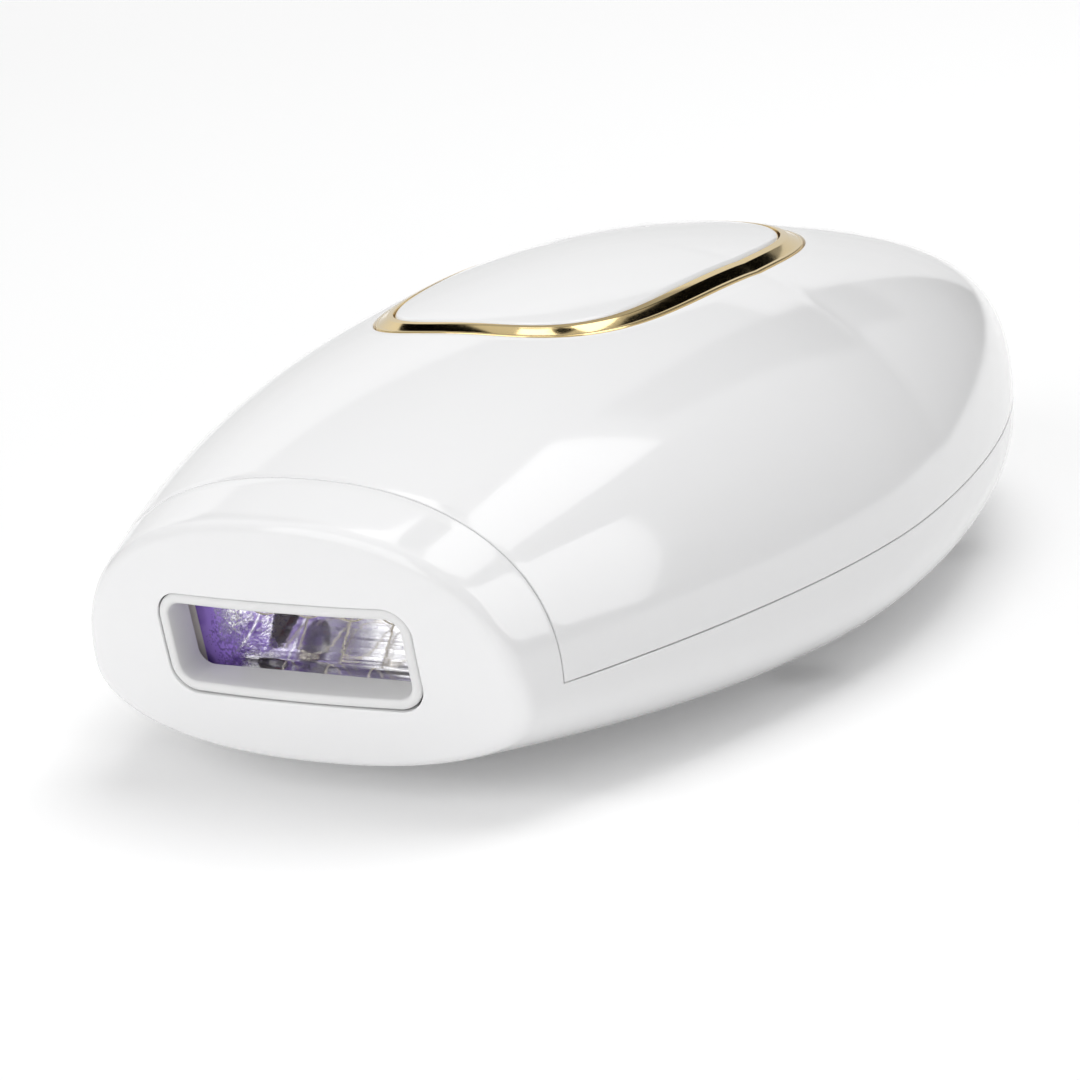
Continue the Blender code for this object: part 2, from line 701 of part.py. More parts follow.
def contact_switch():
    """Microswitch on top of the lamp holder and the plunger that the frame's tab pushes."""
    height = HOLDER_HALF_H + GAP + 0.0014
    length, bore_length = 0.0042, 0.0060
    start = FRAME_DEPTH + GAP
    bore_end = start + length + FRAME_TRAVEL + GAP
    body = box("contact_switch", (0.0070, 0.0056, 0.0028), WINDOW_EMPTY, "black_plastic",
               bevel=0.0003, location=(0, 0.0103, height))
    bore = cylinder("contact_bore", 0.0011, bore_length, WINDOW_EMPTY, sides=12,
                    rotation=(math.pi / 2, 0, 0), location=(0, bore_end - bore_length / 2, height))
    combine(body, 'DIFFERENCE', bore)
    cylinder("contact_switch_plunger", 0.0008, length, WINDOW_EMPTY, "light_grey_pc", sides=12,
             rotation=(math.pi / 2, 0, 0), location=(0, start + length / 2, height))


def contact_springs():
    wire = 0.0002
    start = FRAME_DEPTH + GAP + wire
    length = SPRING_SHELF - GAP - wire - start
    for side, word in ((-1, "right"), (1, "left")):
        tube("contact_spring_" + word, helix(0.0014, length, 2.5, 8), wire, WINDOW_EMPTY,
             "spring_steel", rotation=(-math.pi / 2, 0, 0), location=(side * 0.0186, start, 0))


def lamp_holder():
    length = HOLDER_BACK - HOLDER_FRONT
    obj = plate("lamp_holder", [rounded_rectangle(HOLDER_HALF_X, HOLDER_HALF_H, 0.004)], length,
                WINDOW_EMPTY, "cream_pbt", rotation=(math.pi / 2, 0, 0),
                location=(0, HOLDER_FRONT + length / 2, 0))
    floor = HOLDER_BACK - 0.0015
    cavity = plate("lamp_cavity", [rounded_rectangle(CAVITY_HALF_X, CAVITY_HALF_H, 0.0004)],
                   floor - 0.004, WINDOW_EMPTY, rotation=(math.pi / 2, 0, 0),
                   location=(0, (floor + 0.004) / 2, 0))
    pocket = plate("glass_pocket", [rounded_rectangle(0.0156, 0.0076, 0.002)], 0.003,
                   WINDOW_EMPTY, rotation=(math.pi / 2, 0, 0),
                   location=(0, GLASS_FRONT + GLASS_THICK + GAP - 0.0015, 0))
    bore = cylinder("lamp_bore", LAMP_RADIUS + 0.0004, 0.050, WINDOW_EMPTY, sides=20,
                    rotation=(0, math.pi / 2, 0), location=(0, LAMP_D, LAMP_H))
    shelves = [box("spring_shelf", (0.0050, 0.0010, 0.0044), WINDOW_EMPTY,
                   location=(side * 0.0184, SPRING_SHELF + 0.0005, 0)) for side in (-1, 1)]
    combine(obj, 'UNION', joined("spring_shelves", shelves))
    return combine(obj, 'DIFFERENCE', cavity, pocket, bore)


def filter_glass():
    plate("filter_glass", [rounded_rectangle(0.0153, 0.0073, 0.0017)], GLASS_THICK, WINDOW_EMPTY,
          "filter_glass", rotation=(math.pi / 2, 0, 0),
          location=(0, GLASS_FRONT + GLASS_THICK / 2, 0))


def lamp_reflector():
    """Half-elliptical trough behind the lamp, open at its ends."""
    front, depth, half = 0.0086, 0.0086, CAVITY_HALF_H - GAP - REFLECTOR_SHEET
    rings = []
    for x in (CAVITY_HALF_X - GAP, -CAVITY_HALF_X + GAP):
        rings.append([Vector((x, front + depth * math.cos(angle), half * math.sin(angle)))
                      for angle in arc(-90, 90, 16)])
    obj = mesh_object("lamp_reflector", skin(rings, closed=False), WINDOW_EMPTY,
                      "mirror_aluminium")
    wall = obj.modifiers.new("sheet", 'SOLIDIFY')
    wall.thickness = REFLECTOR_SHEET
    wall.offset = -1
    return obj


def flash_lamp():
    """Quartz tube with its electrodes, end boots and trigger wire."""
    half, bore, radius = LAMP_HALF_LENGTH, LAMP_BORE, LAMP_RADIUS
    along = {"rotation": (0, math.pi / 2, 0), "location": (0, LAMP_D, LAMP_H)}
    rings = []
    for reach, height in ((radius, half), (radius, -half), (bore, -half), (bore, half)):
        rings.append([Vector((reach * math.cos(2 * math.pi * index / 20),
                              reach * math.sin(2 * math.pi * index / 20), height))
                      for index in range(20)])
    mesh_object("flash_lamp", hoop(rings), WINDOW_EMPTY, "quartz", **along)
    electrode = [(0, 0.0120), (0.0010, 0.0120), (0.0014, 0.0126), (0.0014, 0.0155),
                 (0.0006, 0.0157), (0.0006, 0.0180), (0.0017, 0.0180), (0.0017, 0.0196),
                 (0.0006, 0.0196), (0.0006, 0.0226), (0, 0.0226)]
    boot = [(0.0031, 0.0170), (0.0038, 0.0170), (0.0038, 0.0212), (0.0028, 0.0218),
            (0.0010, 0.0218), (0.0010, 0.0204), (0.0031, 0.0204)]
    for side, word in ((-1, "right"), (1, "left")):
        where = {"rotation": (0, side * math.pi / 2, 0), "location": (0, LAMP_D, LAMP_H)}
        turned("lamp_electrode_" + word, electrode[::-1], WINDOW_EMPTY, "tungsten", 12, **where)
        rings = []
        for reach, height in boot:
            rings.append([Vector((reach * math.cos(2 * math.pi * index / 16),
                                  reach * math.sin(2 * math.pi * index / 16), height))
                          for index in range(16)])
        mesh_object("lamp_boot_" + word, hoop(rings), WINDOW_EMPTY, "silicone", **where)
    span = 2 * CAVITY_HALF_X - 0.003
    wire = 0.00015
    coil = [point - Vector((0, 0, span / 2))
            for point in helix(radius + GAP + wire, span, TRIGGER_TURNS, 10)]
    tube("trigger_wire", coil, wire, WINDOW_EMPTY, "nickel_wire", **along)


# ------------------------------------------------------------------ cooling

def heat_sink():
    """Comb of fins behind the lamp holder."""
    fins, pitch, thin, half = 7, 0.0048, 0.0014, 0.0085
    back, root = 0.0315, HOLDER_BACK + GAP + 0.0030
    front = HOLDER_BACK + GAP
    first = -pitch * (fins - 1) / 2
    outline = [(first - thin / 2, front)]
    for fin in range(fins):
        x = first + pitch * fin
        outline += [(x - thin / 2, back), (x + thin / 2, back)]
        if fin < fins - 1:
            outline += [(x + thin / 2, root), (x + pitch - thin / 2, root)]
    outline.append((-first + thin / 2, front))
    plate("heat_sink", [outline], 2 * half, WINDOW_EMPTY, "plain_aluminium")


def fan():
    centre = {"rotation": (math.pi / 2, 0, 0), "location": (0, FAN_Y, FAN_Z)}
    bore = superellipse(0.0140, 0.0140, 2, 32)
    frame = plate("fan_frame", [rounded_rectangle(FAN_HALF, FAN_HALF, 0.002, 2), bore], FAN_DEPTH,
                  DATUM_EMPTY, "black_plastic", **centre)
    rear = FAN_Y + FAN_DEPTH / 2 - 0.0010
    arms = [box("fan_arm", (0.0290, 0.0014, 0.0020), DATUM_EMPTY, location=(0, rear, FAN_Z),
                rotation=(0, turn, 0)) for turn in (math.pi / 4, -math.pi / 4)]
    hub = cylinder("motor_seat", 0.0060, 0.0018, DATUM_EMPTY, rotation=(math.pi / 2, 0, 0),
                   location=(0, rear, FAN_Z))
    combine(frame, 'UNION', *arms, hub)
    rotor = cylinder("fan_rotor", 0.0060, 0.0064, DATUM_EMPTY, "black_plastic",
                     rotation=(math.pi / 2, 0, 0), location=(0, FAN_Y - 0.0010, FAN_Z))
    for blade in range(7):
        turn = 2 * math.pi * blade / 7
        pitch = Matrix.Rotation(math.radians(38), 4, 'X')
        reach = Matrix.Translation((0.0092, 0, 0))
        vane = box("vane", (0.0082, 0.0068, 0.0007), DATUM_EMPTY)
        vane.data.transform(Matrix.Rotation(turn, 4, 'Z') @ reach @ pitch)
        vane.location = rotor.location
        vane.rotation_euler = rotor.rotation_euler
        combine(rotor, 'UNION', vane)


# ------------------------------------------------------------------ electronics

def round_hole(x, y, radius):
    return [(x + dx, y + dy) for dx, dy in superellipse(radius, radius, 2, 12)]


def boards():
    holes = [round_hole(x, y, 0.0013) for x, y in BOARD_SCREWS]
    outline = [(-0.025, 0.0535), (0.025, 0.0535), (0.025, 0.097), (0.0165, 0.1215),
               (-0.0165, 0.1215), (-0.025, 0.097)]
    plate("main_board", [outline, *holes], BOARD_THICK, DATUM_EMPTY, "circuit_board",
          location=(0, 0, BOARD_Z + BOARD_THICK / 2))
    holes = [round_hole(x, y, 0.0013) for x, y in CONTROL_SCREWS]
    outline = [(x, KEY_Y + y) for x, y in rounded_rectangle(0.0240, 0.0140, 0.003, 2)]
    plate("control_board", [outline, *holes], BOARD_THICK, DATUM_EMPTY, "circuit_board",
          location=(0, 0, CONTROL_Z + BOARD_THICK / 2))


def power_parts():
    """Large parts that stand on the main board."""
    top = BOARD_Z + BOARD_THICK + GAP
    radius, length = CAPACITOR_RADIUS, CAPACITOR_LENGTH
    can = [(0, length), (radius - 0.001, length), (radius, length - 0.001),
           (radius, 0.0045), (radius - 0.0006, 0.0035), (radius, 0.0025), (radius, 0.0006),
           (radius - 0.0006, 0), (0, 0)]
    turned("flash_capacitor", can, DATUM_EMPTY, "capacitor_sleeve", 24,
           rotation=(-math.pi / 2, 0, 0), location=(0.0125, 0.0615, top + radius))

    centre = (-0.0125, 0.0735, top + 0.0090)
    core = box("transformer_core", (0.0220, 0.0110, 0.0180), DATUM_EMPTY, "ferrite",
               location=centre)
    for side in (-1, 1):
        gap = box("core_window", (0.0050, 0.0200, 0.0110), DATUM_EMPTY,
                  location=(centre[0] + side * 0.0055, centre[1], centre[2]))
        combine(core, 'DIFFERENCE', gap)
    plate("transformer_winding", [rounded_rectangle(0.0077, 0.0085, 0.003, 3),
                                  rounded_rectangle(0.0033, 0.0058, 0.0005, 1)],
          0.0104, DATUM_EMPTY, "copper_winding", location=centre)

    box("trigger_coil", (0.0110, 0.0090, 0.0100), DATUM_EMPTY, "white_lead", bevel=0.0008,
        location=(-0.0150, 0.0930, top + 0.0050))
    box("power_transistor", (0.0156, 0.0046, 0.0190), DATUM_EMPTY, "black_plastic",
        bevel=0.0005, location=(-0.0020, 0.1090, top + 0.0095))


def dc_inlet():
    """Socket behind the hole in the tail, with its centre pin."""
    front, block_front, block = TAIL_TIP - 0.0020, LENGTH - 0.0097, 0.0110
    facing = {"rotation": (math.pi / 2, 0, 0)}
    barrel_length = front - block_front + 0.0020
    body = box("dc_inlet", (0.0090, block, 0.0090), DATUM_EMPTY, "black_plastic",
               location=(0, block_front - block / 2, INLET_Z))
    barrel = cylinder("barrel", INLET_MOUTH - GAP, barrel_length, DATUM_EMPTY,
                      location=(0, front - barrel_length / 2, INLET_Z), **facing)
    bore = cylinder("plug_bore", 0.0029, 0.0130, DATUM_EMPTY, sides=20,
                    location=(0, front - 0.0050, INLET_Z), **facing)
    combine(body, 'UNION', barrel)
    combine(body, 'DIFFERENCE', bore)
    turned("dc_inlet_pin", [(0, 0.0090), (0.0006, 0.0090), (0.0010, 0.0084), (0.0010, 0),
                            (0, 0)], DATUM_EMPTY, "brass", 12,
           rotation=(-math.pi / 2, 0, 0), location=(0, front - 0.0112, INLET_Z))


def inlet_opening():
    return cylinder("inlet_opening", INLET_MOUTH, 0.030, DATUM_EMPTY, sides=24,
                    rotation=(math.pi / 2, 0, 0), location=(0, LENGTH, INLET_Z))


def bezier(points, steps):
    """Smooth wire route through a cubic Bezier's four control points."""
    a, b, c, d = (Vector(point) for point in points)
    route = []
    for step in range(steps + 1):
        t = step / steps
        route.append((1 - t) ** 3 * a + 3 * (1 - t) ** 2 * t * b
                     + 3 * (1 - t) * t * t * c + t ** 3 * d)
    return route


def leads():
    """Insulated wires between the lamp, fan, inlet and boards."""
    top = BOARD_Z + BOARD_THICK + GAP
    for side, word in ((-1, "right"), (1, "left")):
        start = window_to_datum(Vector((side * 0.0236, LAMP_D, LAMP_H)))
        route = bezier([start, start + Vector((side * 0.0030, 0.010, 0)),
                        (side * 0.0240, 0.040, 0.030), (side * 0.0230, 0.0630, top + 0.0010)], 9)
        tube("lamp_lead_" + word, route, 0.0006, DATUM_EMPTY, "red_lead")
    edge = FAN_Y + FAN_DEPTH / 2 + GAP
    tube("fan_lead", bezier([(0.0100, edge + 0.0007, 0.0340), (0.0100, edge + 0.006, 0.0340),
                             (0.0000, 0.0500, 0.0200), (0.0000, 0.0560, top + 0.0010)], 7),
         0.0006, DATUM_EMPTY, "red_lead")
    tube("inlet_lead", bezier([(0.0, 0.1275, INLET_Z), (0.0, 0.1240, INLET_Z),
                               (0.0090, 0.1220, 0.0150), (0.0090, 0.1160, top + 0.0010)], 7),
         0.0007, DATUM_EMPTY, "red_lead")
    tube("control_lead", bezier([(-0.0200, 0.0836, CONTROL_Z), (-0.0220, 0.0900, 0.0290),
                                 (-0.0220, 0.0900, 0.0200), (-0.0220, 0.0860, top + 0.0010)], 7),
         0.0007, DATUM_EMPTY, "white_lead")


# ------------------------------------------------------------------ fasteners

def screw(name, radius, head, length, **where):
    """Pan-head screw standing on its head: the shank points up local Z."""
    profile = [(0, length), (radius, length - radius), (radius, 0),
               (head, 0), (head, -0.0008), (head * 0.7, -0.0014), (0, -0.0014)]
    turned(name, profile, DATUM_EMPTY, "screw_steel", 10, **where)


def screws():
    names = ("front_right", "front_left", "rear_right", "rear_left")
    for name, (x, y) in zip(names, screw_places()):
        screw("casing_screw_" + name, 0.0012, 0.0024, 0.0110, location=(x, y, screw_head_z(y)))
    names = ("front_right", "front_left", "rear")
    for name, (x, y) in zip(names, BOARD_SCREWS):
        screw("board_screw_" + name, 0.0008, 0.0018, 0.0045, rotation=(math.pi, 0, 0),
              location=(x, y, BOARD_Z + BOARD_THICK + GAP))
    for name, (x, y) in zip(("right", "left"), CONTROL_SCREWS):
        screw("control_screw_" + name, 0.0008, 0.0018, 0.0045, location=(x, y, CONTROL_Z - GAP))


# ------------------------------------------------------------------ assembly

clear_scene()
PARTS = new_collection("ipl_hair_remover")
CUTTERS = new_collection("cutters")
MATERIALS = {name: new_material(name) for name in COLOURS}

DATUM_EMPTY = bpy.data.objects.new("nose_datum", None)
PARTS.objects.link(DATUM_EMPTY)
DATUM_EMPTY.location = DATUM

WINDOW_ORIGIN = Vector((0, -WINDOW_H * math.sin(TILT), WINDOW_Z))
WINDOW_EMPTY = bpy.data.objects.new("window_axis", None)
PARTS.objects.link(WINDOW_EMPTY)
WINDOW_EMPTY.parent = DATUM_EMPTY
WINDOW_EMPTY.location = WINDOW_ORIGIN
WINDOW_EMPTY.rotation_euler = (TILT, 0, 0)

INSIDE = envelope()
INLET_HOLE = inlet_opening()
upper_casing(INSIDE, INLET_HOLE)
lower_casing(INSIDE, INLET_HOLE)
trim_ring()
flash_button()
flash_switch()
button_spring()
contact_frame()
contact_switch()
contact_springs()
lamp_holder()
filter_glass()
lamp_reflector()
flash_lamp()
heat_sink()
fan()
boards()
power_parts()
dc_inlet()
leads()
screws()
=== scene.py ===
"""Looks of the IPL hair remover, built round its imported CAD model.

Run in Blender 4.5 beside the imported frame.  Metres, +Z up, the nose with the light window to -Y.
Inside the shape functions y is measured backwards from the nose plane, as in the CAD.
"""

import json
import math

import bmesh
import bpy
import numpy as np
from mathutils import Matrix, Vector


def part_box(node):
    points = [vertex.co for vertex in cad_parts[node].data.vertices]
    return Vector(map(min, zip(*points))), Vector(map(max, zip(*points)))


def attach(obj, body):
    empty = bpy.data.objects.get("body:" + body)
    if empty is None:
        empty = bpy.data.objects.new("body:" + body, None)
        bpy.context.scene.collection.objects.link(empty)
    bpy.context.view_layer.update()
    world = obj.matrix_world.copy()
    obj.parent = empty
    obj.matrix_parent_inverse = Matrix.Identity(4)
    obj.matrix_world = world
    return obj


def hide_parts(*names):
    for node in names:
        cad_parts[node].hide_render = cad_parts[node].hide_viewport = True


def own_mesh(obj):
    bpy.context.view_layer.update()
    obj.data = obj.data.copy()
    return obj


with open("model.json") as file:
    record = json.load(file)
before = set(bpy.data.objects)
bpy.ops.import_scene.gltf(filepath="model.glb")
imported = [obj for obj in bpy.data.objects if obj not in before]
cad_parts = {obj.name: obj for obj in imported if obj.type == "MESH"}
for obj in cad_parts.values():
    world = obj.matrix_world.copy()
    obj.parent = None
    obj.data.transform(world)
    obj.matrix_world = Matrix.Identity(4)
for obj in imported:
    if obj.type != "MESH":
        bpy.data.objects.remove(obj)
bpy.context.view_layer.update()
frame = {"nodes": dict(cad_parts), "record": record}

MM = 0.001

# --- the CAD's shape, in metres

LENGTH = 0.1492
HALF_WIDTH, NOSE_HALF_WIDTH = 0.040, 0.0242
WIDEST, NOSE_FLARE, TAIL_POWER, TAIL_ROUND = 0.421, 1.755, 1.787, 2.033
CROWN, NOSE_CROWN, HIGHEST = 0.0430, 0.0306, 0.482
CROWN_RISE, CROWN_POWER, CROWN_ROUND = 2.006, 1.626, 2.027
KEEL_NOSE_LIFT, KEEL_DIP, LOWEST, KEEL_POWER = 0.0048, 0.00035, 0.444, 2.013
PARTING, PARTING_RISE = 0.01492, 0.0036
UPPER_POWER_NOSE, UPPER_POWER_MID, UPPER_POWER_TAIL = 2.292, 1.923, 2.946
LOWER_POWER_NOSE, LOWER_POWER, LOWER_BLEND = 2.235, 2.935, 0.4
WALL, GAP = 0.0020, 0.0003
SEAM, SEAM_BOW = 0.00584, 0.0012

TILT = math.radians(11.13)
FACE_Z, FACE_HALF_WIDTH, FACE_UP, FACE_DOWN = 0.01583, 0.0240, 0.01397, 0.01158
FACE_POWER_UP, FACE_POWER_DOWN = 1.939, 3.24
BULGE_X, BULGE_Z = 3.184, 3.878
WINDOW_Z, WINDOW_HALF_X, WINDOW_HALF_Z, WINDOW_RADIUS = 0.01625, 0.0148, 0.0056, 0.0030

KEY_Y = 0.0690
RING_HALF_X, RING_HALF_Y, RING_POWER = 0.0175, 0.03114, 3.14
RING_BAND, RING_RISE = 0.00266, 0.00034
KEY_TRAVEL, FRAME_TRAVEL = 0.0006, 0.0008
SEAT_Z = CROWN - 0.0024
BOARD_UNDERSIDE, BOARD_THICK = 0.0314, 0.0016
SWITCH_FOOT = BOARD_UNDERSIDE + BOARD_THICK + GAP
PLUNGER_TOP = SWITCH_FOOT + 0.0042

FRAME_DEPTH, SPRING_SHELF = 0.0044, 0.0074
HOLDER_HALF_H = 0.0088
CAVITY_HALF_X, CAVITY_HALF_H = 0.0145, 0.0065
LAMP_D, LAMP_H, LAMP_RADIUS, LAMP_BORE, LAMP_HALF_LENGTH = 0.0125, 0.0008, 0.00275, 0.00205, 0.0200
TRIGGER_TURNS = 5
REFLECTOR_FRONT, REFLECTOR_DEPTH, REFLECTOR_SHEET = 0.0086, 0.0086, 0.0004

INLET_Z, INLET_MOUTH = 0.0167, 0.0040
CASING_SCREWS = ((0.030, 0.054), (0.027, 0.104))
SCREW_SEAT = 0.0065        # from the parting plane down to the seat of a casing screw
BOSS_RADIUS, HEAD_BORE, SHAFT_BORE = 0.0036, 0.0031, 0.0019
VENTS = ((6, 0.013, 0.094), (4, 0.010, 0.022))      # slots, half length and place of the first
VENT_PITCH = 0.004
FRAME_SPRING_X = 0.0186

# --- finer choices of this script

REFLECTOR_LIP, CHEEK = 0.0074, 0.0012      # the reflector's front edge, and its ends' thickness
PANE_BAND = 0.0137         # where the cream bands at the pane's ends start
FILLET = 0.00012           # rounding of the casings' rims
JOINT_GAP = 0.00012        # between the two casings where they meet in sight
BELLY_SOFTNESS = 0.00015   # how gently the flat on the belly fades in
FACE_EDGE = 0.0012         # rounding round the nose face
COLUMNS = 224              # round the nose, a multiple of four
AROUND_KEY = 240           # points round the key and its trim
SHARP = 32                 # degrees from which an edge is shaded sharp
NEAR_TAIL = 0.9            # share of the length behind which the inlet's hole lies
ABOVE_PARTING, BELOW_PARTING = 0.02, 0.03   # angles where the parting line meets that hole
LAMP_SPAN = 2 * CAVITY_HALF_X - 0.003       # stretch of the lamp that shows in the cavity
SIDE_WIDTH, FRONT_NARROWING = 0.90, 0.22    # shares of its width that the trim keeps and loses


def ramp(value, low, high):
    """0 up to low and 1 from high, smooth between."""
    t = min(1.0, max(0.0, (value - low) / (high - low)))
    return t * t * (3 - 2 * t)


def ease_out(t, outer, inner):
    """1 at t = 0, rounding off to 0 at t = 1."""
    return max(0.0, 1.0 - max(0.0, t) ** outer) ** (1.0 / inner)


def half_width(y):
    u = y / LENGTH
    if u > WIDEST:
        return HALF_WIDTH * ease_out((u - WIDEST) / (1 - WIDEST), TAIL_POWER, TAIL_ROUND)
    return HALF_WIDTH - (HALF_WIDTH - NOSE_HALF_WIDTH) * ((WIDEST - u) / WIDEST) ** NOSE_FLARE


def parting(y):
    return PARTING + PARTING_RISE * (y / LENGTH - 0.5)


def crown(y):
    u = y / LENGTH
    if u > HIGHEST:
        height = ease_out((u - HIGHEST) / (1 - HIGHEST), CROWN_POWER, CROWN_ROUND)
        return parting(y) + (CROWN - parting(y)) * height
    return CROWN - (CROWN - NOSE_CROWN) * ((HIGHEST - u) / HIGHEST) ** CROWN_RISE


def keel(y):
    u = y / LENGTH
    if u > LOWEST:
        depth = ease_out((u - LOWEST) / (1 - LOWEST), KEEL_POWER, 2.0)
        return parting(y) - (parting(y) + KEEL_DIP) * depth
    return KEEL_NOSE_LIFT * ((LOWEST - u) / LOWEST) ** 2 - KEEL_DIP


def upper_power(y):
    u = y / LENGTH
    if u < 0.5:
        return UPPER_POWER_NOSE + (UPPER_POWER_MID - UPPER_POWER_NOSE) * 2 * u
    return UPPER_POWER_MID + (UPPER_POWER_TAIL - UPPER_POWER_MID) * (2 * u - 1)


def lower_power(y):
    blend = max(0.0, 1 - y / LENGTH / LOWER_BLEND) ** 2
    return LOWER_POWER + (LOWER_POWER_NOSE - LOWER_POWER) * blend


def reach(angle, exponent):
    """Distance from the middle to a unit superellipse in this direction."""
    c, s = abs(math.cos(angle)), abs(math.sin(angle))
    return (c ** exponent + s ** exponent) ** (-1 / exponent)


def body_point(y, angle):
    """Point of the outer surface; 0 is the +X end of the parting line, 90 degrees the crown."""
    upper = math.sin(angle) >= 0
    out = reach(angle, upper_power(y) if upper else lower_power(y))
    base = parting(y)
    height = crown(y) - base if upper else base - keel(y)
    z = base + height * math.sin(angle) * out
    z = 0.5 * (z + math.hypot(z, BELLY_SOFTNESS))
    return Vector((half_width(y) * math.cos(angle) * out, y, z))


def crown_at(x, y):
    n = upper_power(y)
    across = min(1.0, abs(x) / half_width(y))
    return parting(y) + (crown(y) - parting(y)) * (1 - across ** n) ** (1 / n)


def belly_at(x, y):
    n = lower_power(y)
    across = min(1.0, abs(x) / half_width(y))
    return parting(y) - (parting(y) - keel(y)) * (1 - across ** n) ** (1 / n)


def face_setback(x, h):
    """How far the bulged nose face lies behind its tangent plane."""
    return BULGE_X * x * x + BULGE_Z * h * h


def on_face(x, h):
    return Vector((x, face_setback(x, h) - h * math.sin(TILT), FACE_Z + h * math.cos(TILT)))


def seam_y(angle):
    """Front edge of the upper casing, bowed so that its sides lie behind its middle."""
    n = upper_power(SEAM)
    return SEAM + SEAM_BOW * (abs(math.cos(angle)) * reach(angle, n)) ** n


NOSE_TIP = on_face(0, FACE_UP).y
MOUTH_SHARE = (1 - (INLET_MOUTH / HALF_WIDTH) ** TAIL_ROUND) ** (1 / TAIL_POWER)
TAIL_TIP = LENGTH * (WIDEST + (1 - WIDEST) * MOUTH_SHARE)
NOSE_DATUM = Matrix.Translation((0, -(TAIL_TIP + NOSE_TIP) / 2, 0))
WINDOW_H = (WINDOW_Z - FACE_Z) / math.cos(TILT)
WINDOW_AXIS = (NOSE_DATUM @ Matrix.Translation((0, -WINDOW_H * math.sin(TILT), WINDOW_Z))
               @ Matrix.Rotation(TILT, 4, 'X'))
# distance along the lamp, height across the window, distance out of it
WINDOW_UPRIGHT = WINDOW_AXIS @ Matrix.Rotation(math.pi / 2, 4, 'X')
# depth into the window, height across it, distance along the lamp
ALONG_LAMP = WINDOW_AXIS @ Matrix(((0, 0, 1, 0), (1, 0, 0, 0), (0, 1, 0, 0), (0, 0, 0, 1)))


def bisect(inside, low, high, steps=30):
    """Value between low, where inside is true, and high, where it turns false."""
    for _ in range(steps):
        middle = (low + high) / 2
        if inside(middle):
            low = middle
        else:
            high = middle
    return low


# --- mesh helpers

def skin(rings, closed=True):
    """Surface through rings of equal length; a ring of one point is a pole."""
    bm = bmesh.new()
    rows = [[bm.verts.new(point) for point in ring] for ring in rings]
    for near, far in zip(rows, rows[1:]):
        count = max(len(near), len(far))
        for index in range(count if closed else count - 1):
            after = (index + 1) % count
            corners = [near[index % len(near)], near[after % len(near)],
                       far[after % len(far)], far[index % len(far)]]
            bm.faces.new(list(dict.fromkeys(corners)))
    return bm


def facing_out(bm):
    """The same closed bmesh, with its faces' normals outwards."""
    bmesh.ops.recalc_face_normals(bm, faces=bm.faces)
    return bm


def hoop(rings):
    """Closed ring-shaped solid through a loop of rings."""
    bm = skin(rings + [rings[0]])
    bmesh.ops.remove_doubles(bm, verts=bm.verts, dist=1e-7)
    return facing_out(bm)


def face_outwards(bm, centre):
    """Turns an open skin's faces away from a point inside it."""
    bm.normal_update()
    total = sum(face.normal.dot(face.calc_center_median() - centre) for face in bm.faces)
    if total < 0:
        bmesh.ops.reverse_faces(bm, faces=bm.faces)
    bm.normal_update()


def rim_directions(rims):
    """For each vertex on a rim, the way out of the skin, longer where the rim turns a corner."""
    ways = {}
    for edge in rims:
        face = edge.link_faces[0]
        along = (edge.verts[1].co - edge.verts[0].co).normalized()
        middle = (edge.verts[0].co + edge.verts[1].co) / 2
        out = middle - face.calc_center_median()
        out -= out.dot(along) * along + out.dot(face.normal) * face.normal
        out.normalize()
        for vert in edge.verts:
            ways.setdefault(vert, []).append(out)
    directions = {}
    for vert, outs in ways.items():
        mean = sum(outs, Vector()).normalized()
        directions[vert] = mean / max(0.6, mean.dot(outs[0]))
    return directions


def thicken(bm, wall, fillet, steps=3):
    """Gives an open skin a wall on its inner side and rounds the outer edge of every rim."""
    rims = [edge for edge in bm.edges if edge.is_boundary]
    directions = rim_directions(rims)
    faces = list(bm.faces)
    verts = list(bm.verts)
    normals = {vert: vert.normal.copy() for vert in verts}
    inner = {vert: bm.verts.new(vert.co - normals[vert] * wall) for vert in verts}
    rows = {}
    for vert, way in directions.items():
        edge = vert.co.copy()
        row = []
        for step in range(1, steps + 1):
            turn = math.pi / 2 * step / steps
            back = way * fillet * (math.sin(turn) - 1)
            down = normals[vert] * fillet * (math.cos(turn) - 1)
            row.append(bm.verts.new(edge + back + down))
        vert.co = edge - way * fillet
        rows[vert] = [vert, *row, inner[vert]]
    for edge in rims:
        loop = edge.link_loops[0]
        first, second = rows[loop.vert], rows[loop.link_loop_next.vert]
        for index in range(len(first) - 1):
            bm.faces.new((second[index], first[index], first[index + 1], second[index + 1]))
    for face in faces:
        bm.faces.new([inner[vert] for vert in reversed(face.verts)])
    free = [inner[vert] for vert in verts if vert not in directions]
    for _ in range(4):
        bmesh.ops.smooth_vert(bm, verts=free, factor=0.4,
                              use_axis_x=True, use_axis_y=True, use_axis_z=True)
    bm.normal_update()


def mesh_piece(name, bm, place=NOSE_DATUM, sharp=SHARP):
    """Object of a mesh, with its place worked into its vertices."""
    mesh = bpy.data.meshes.new(name)
    bm.to_mesh(mesh)
    bm.free()
    mesh.transform(place)
    mesh.shade_smooth()
    mesh.set_sharp_from_angle(angle=math.radians(sharp))
    obj = bpy.data.objects.new(name, mesh)
    bpy.context.scene.collection.objects.link(obj)
    return obj


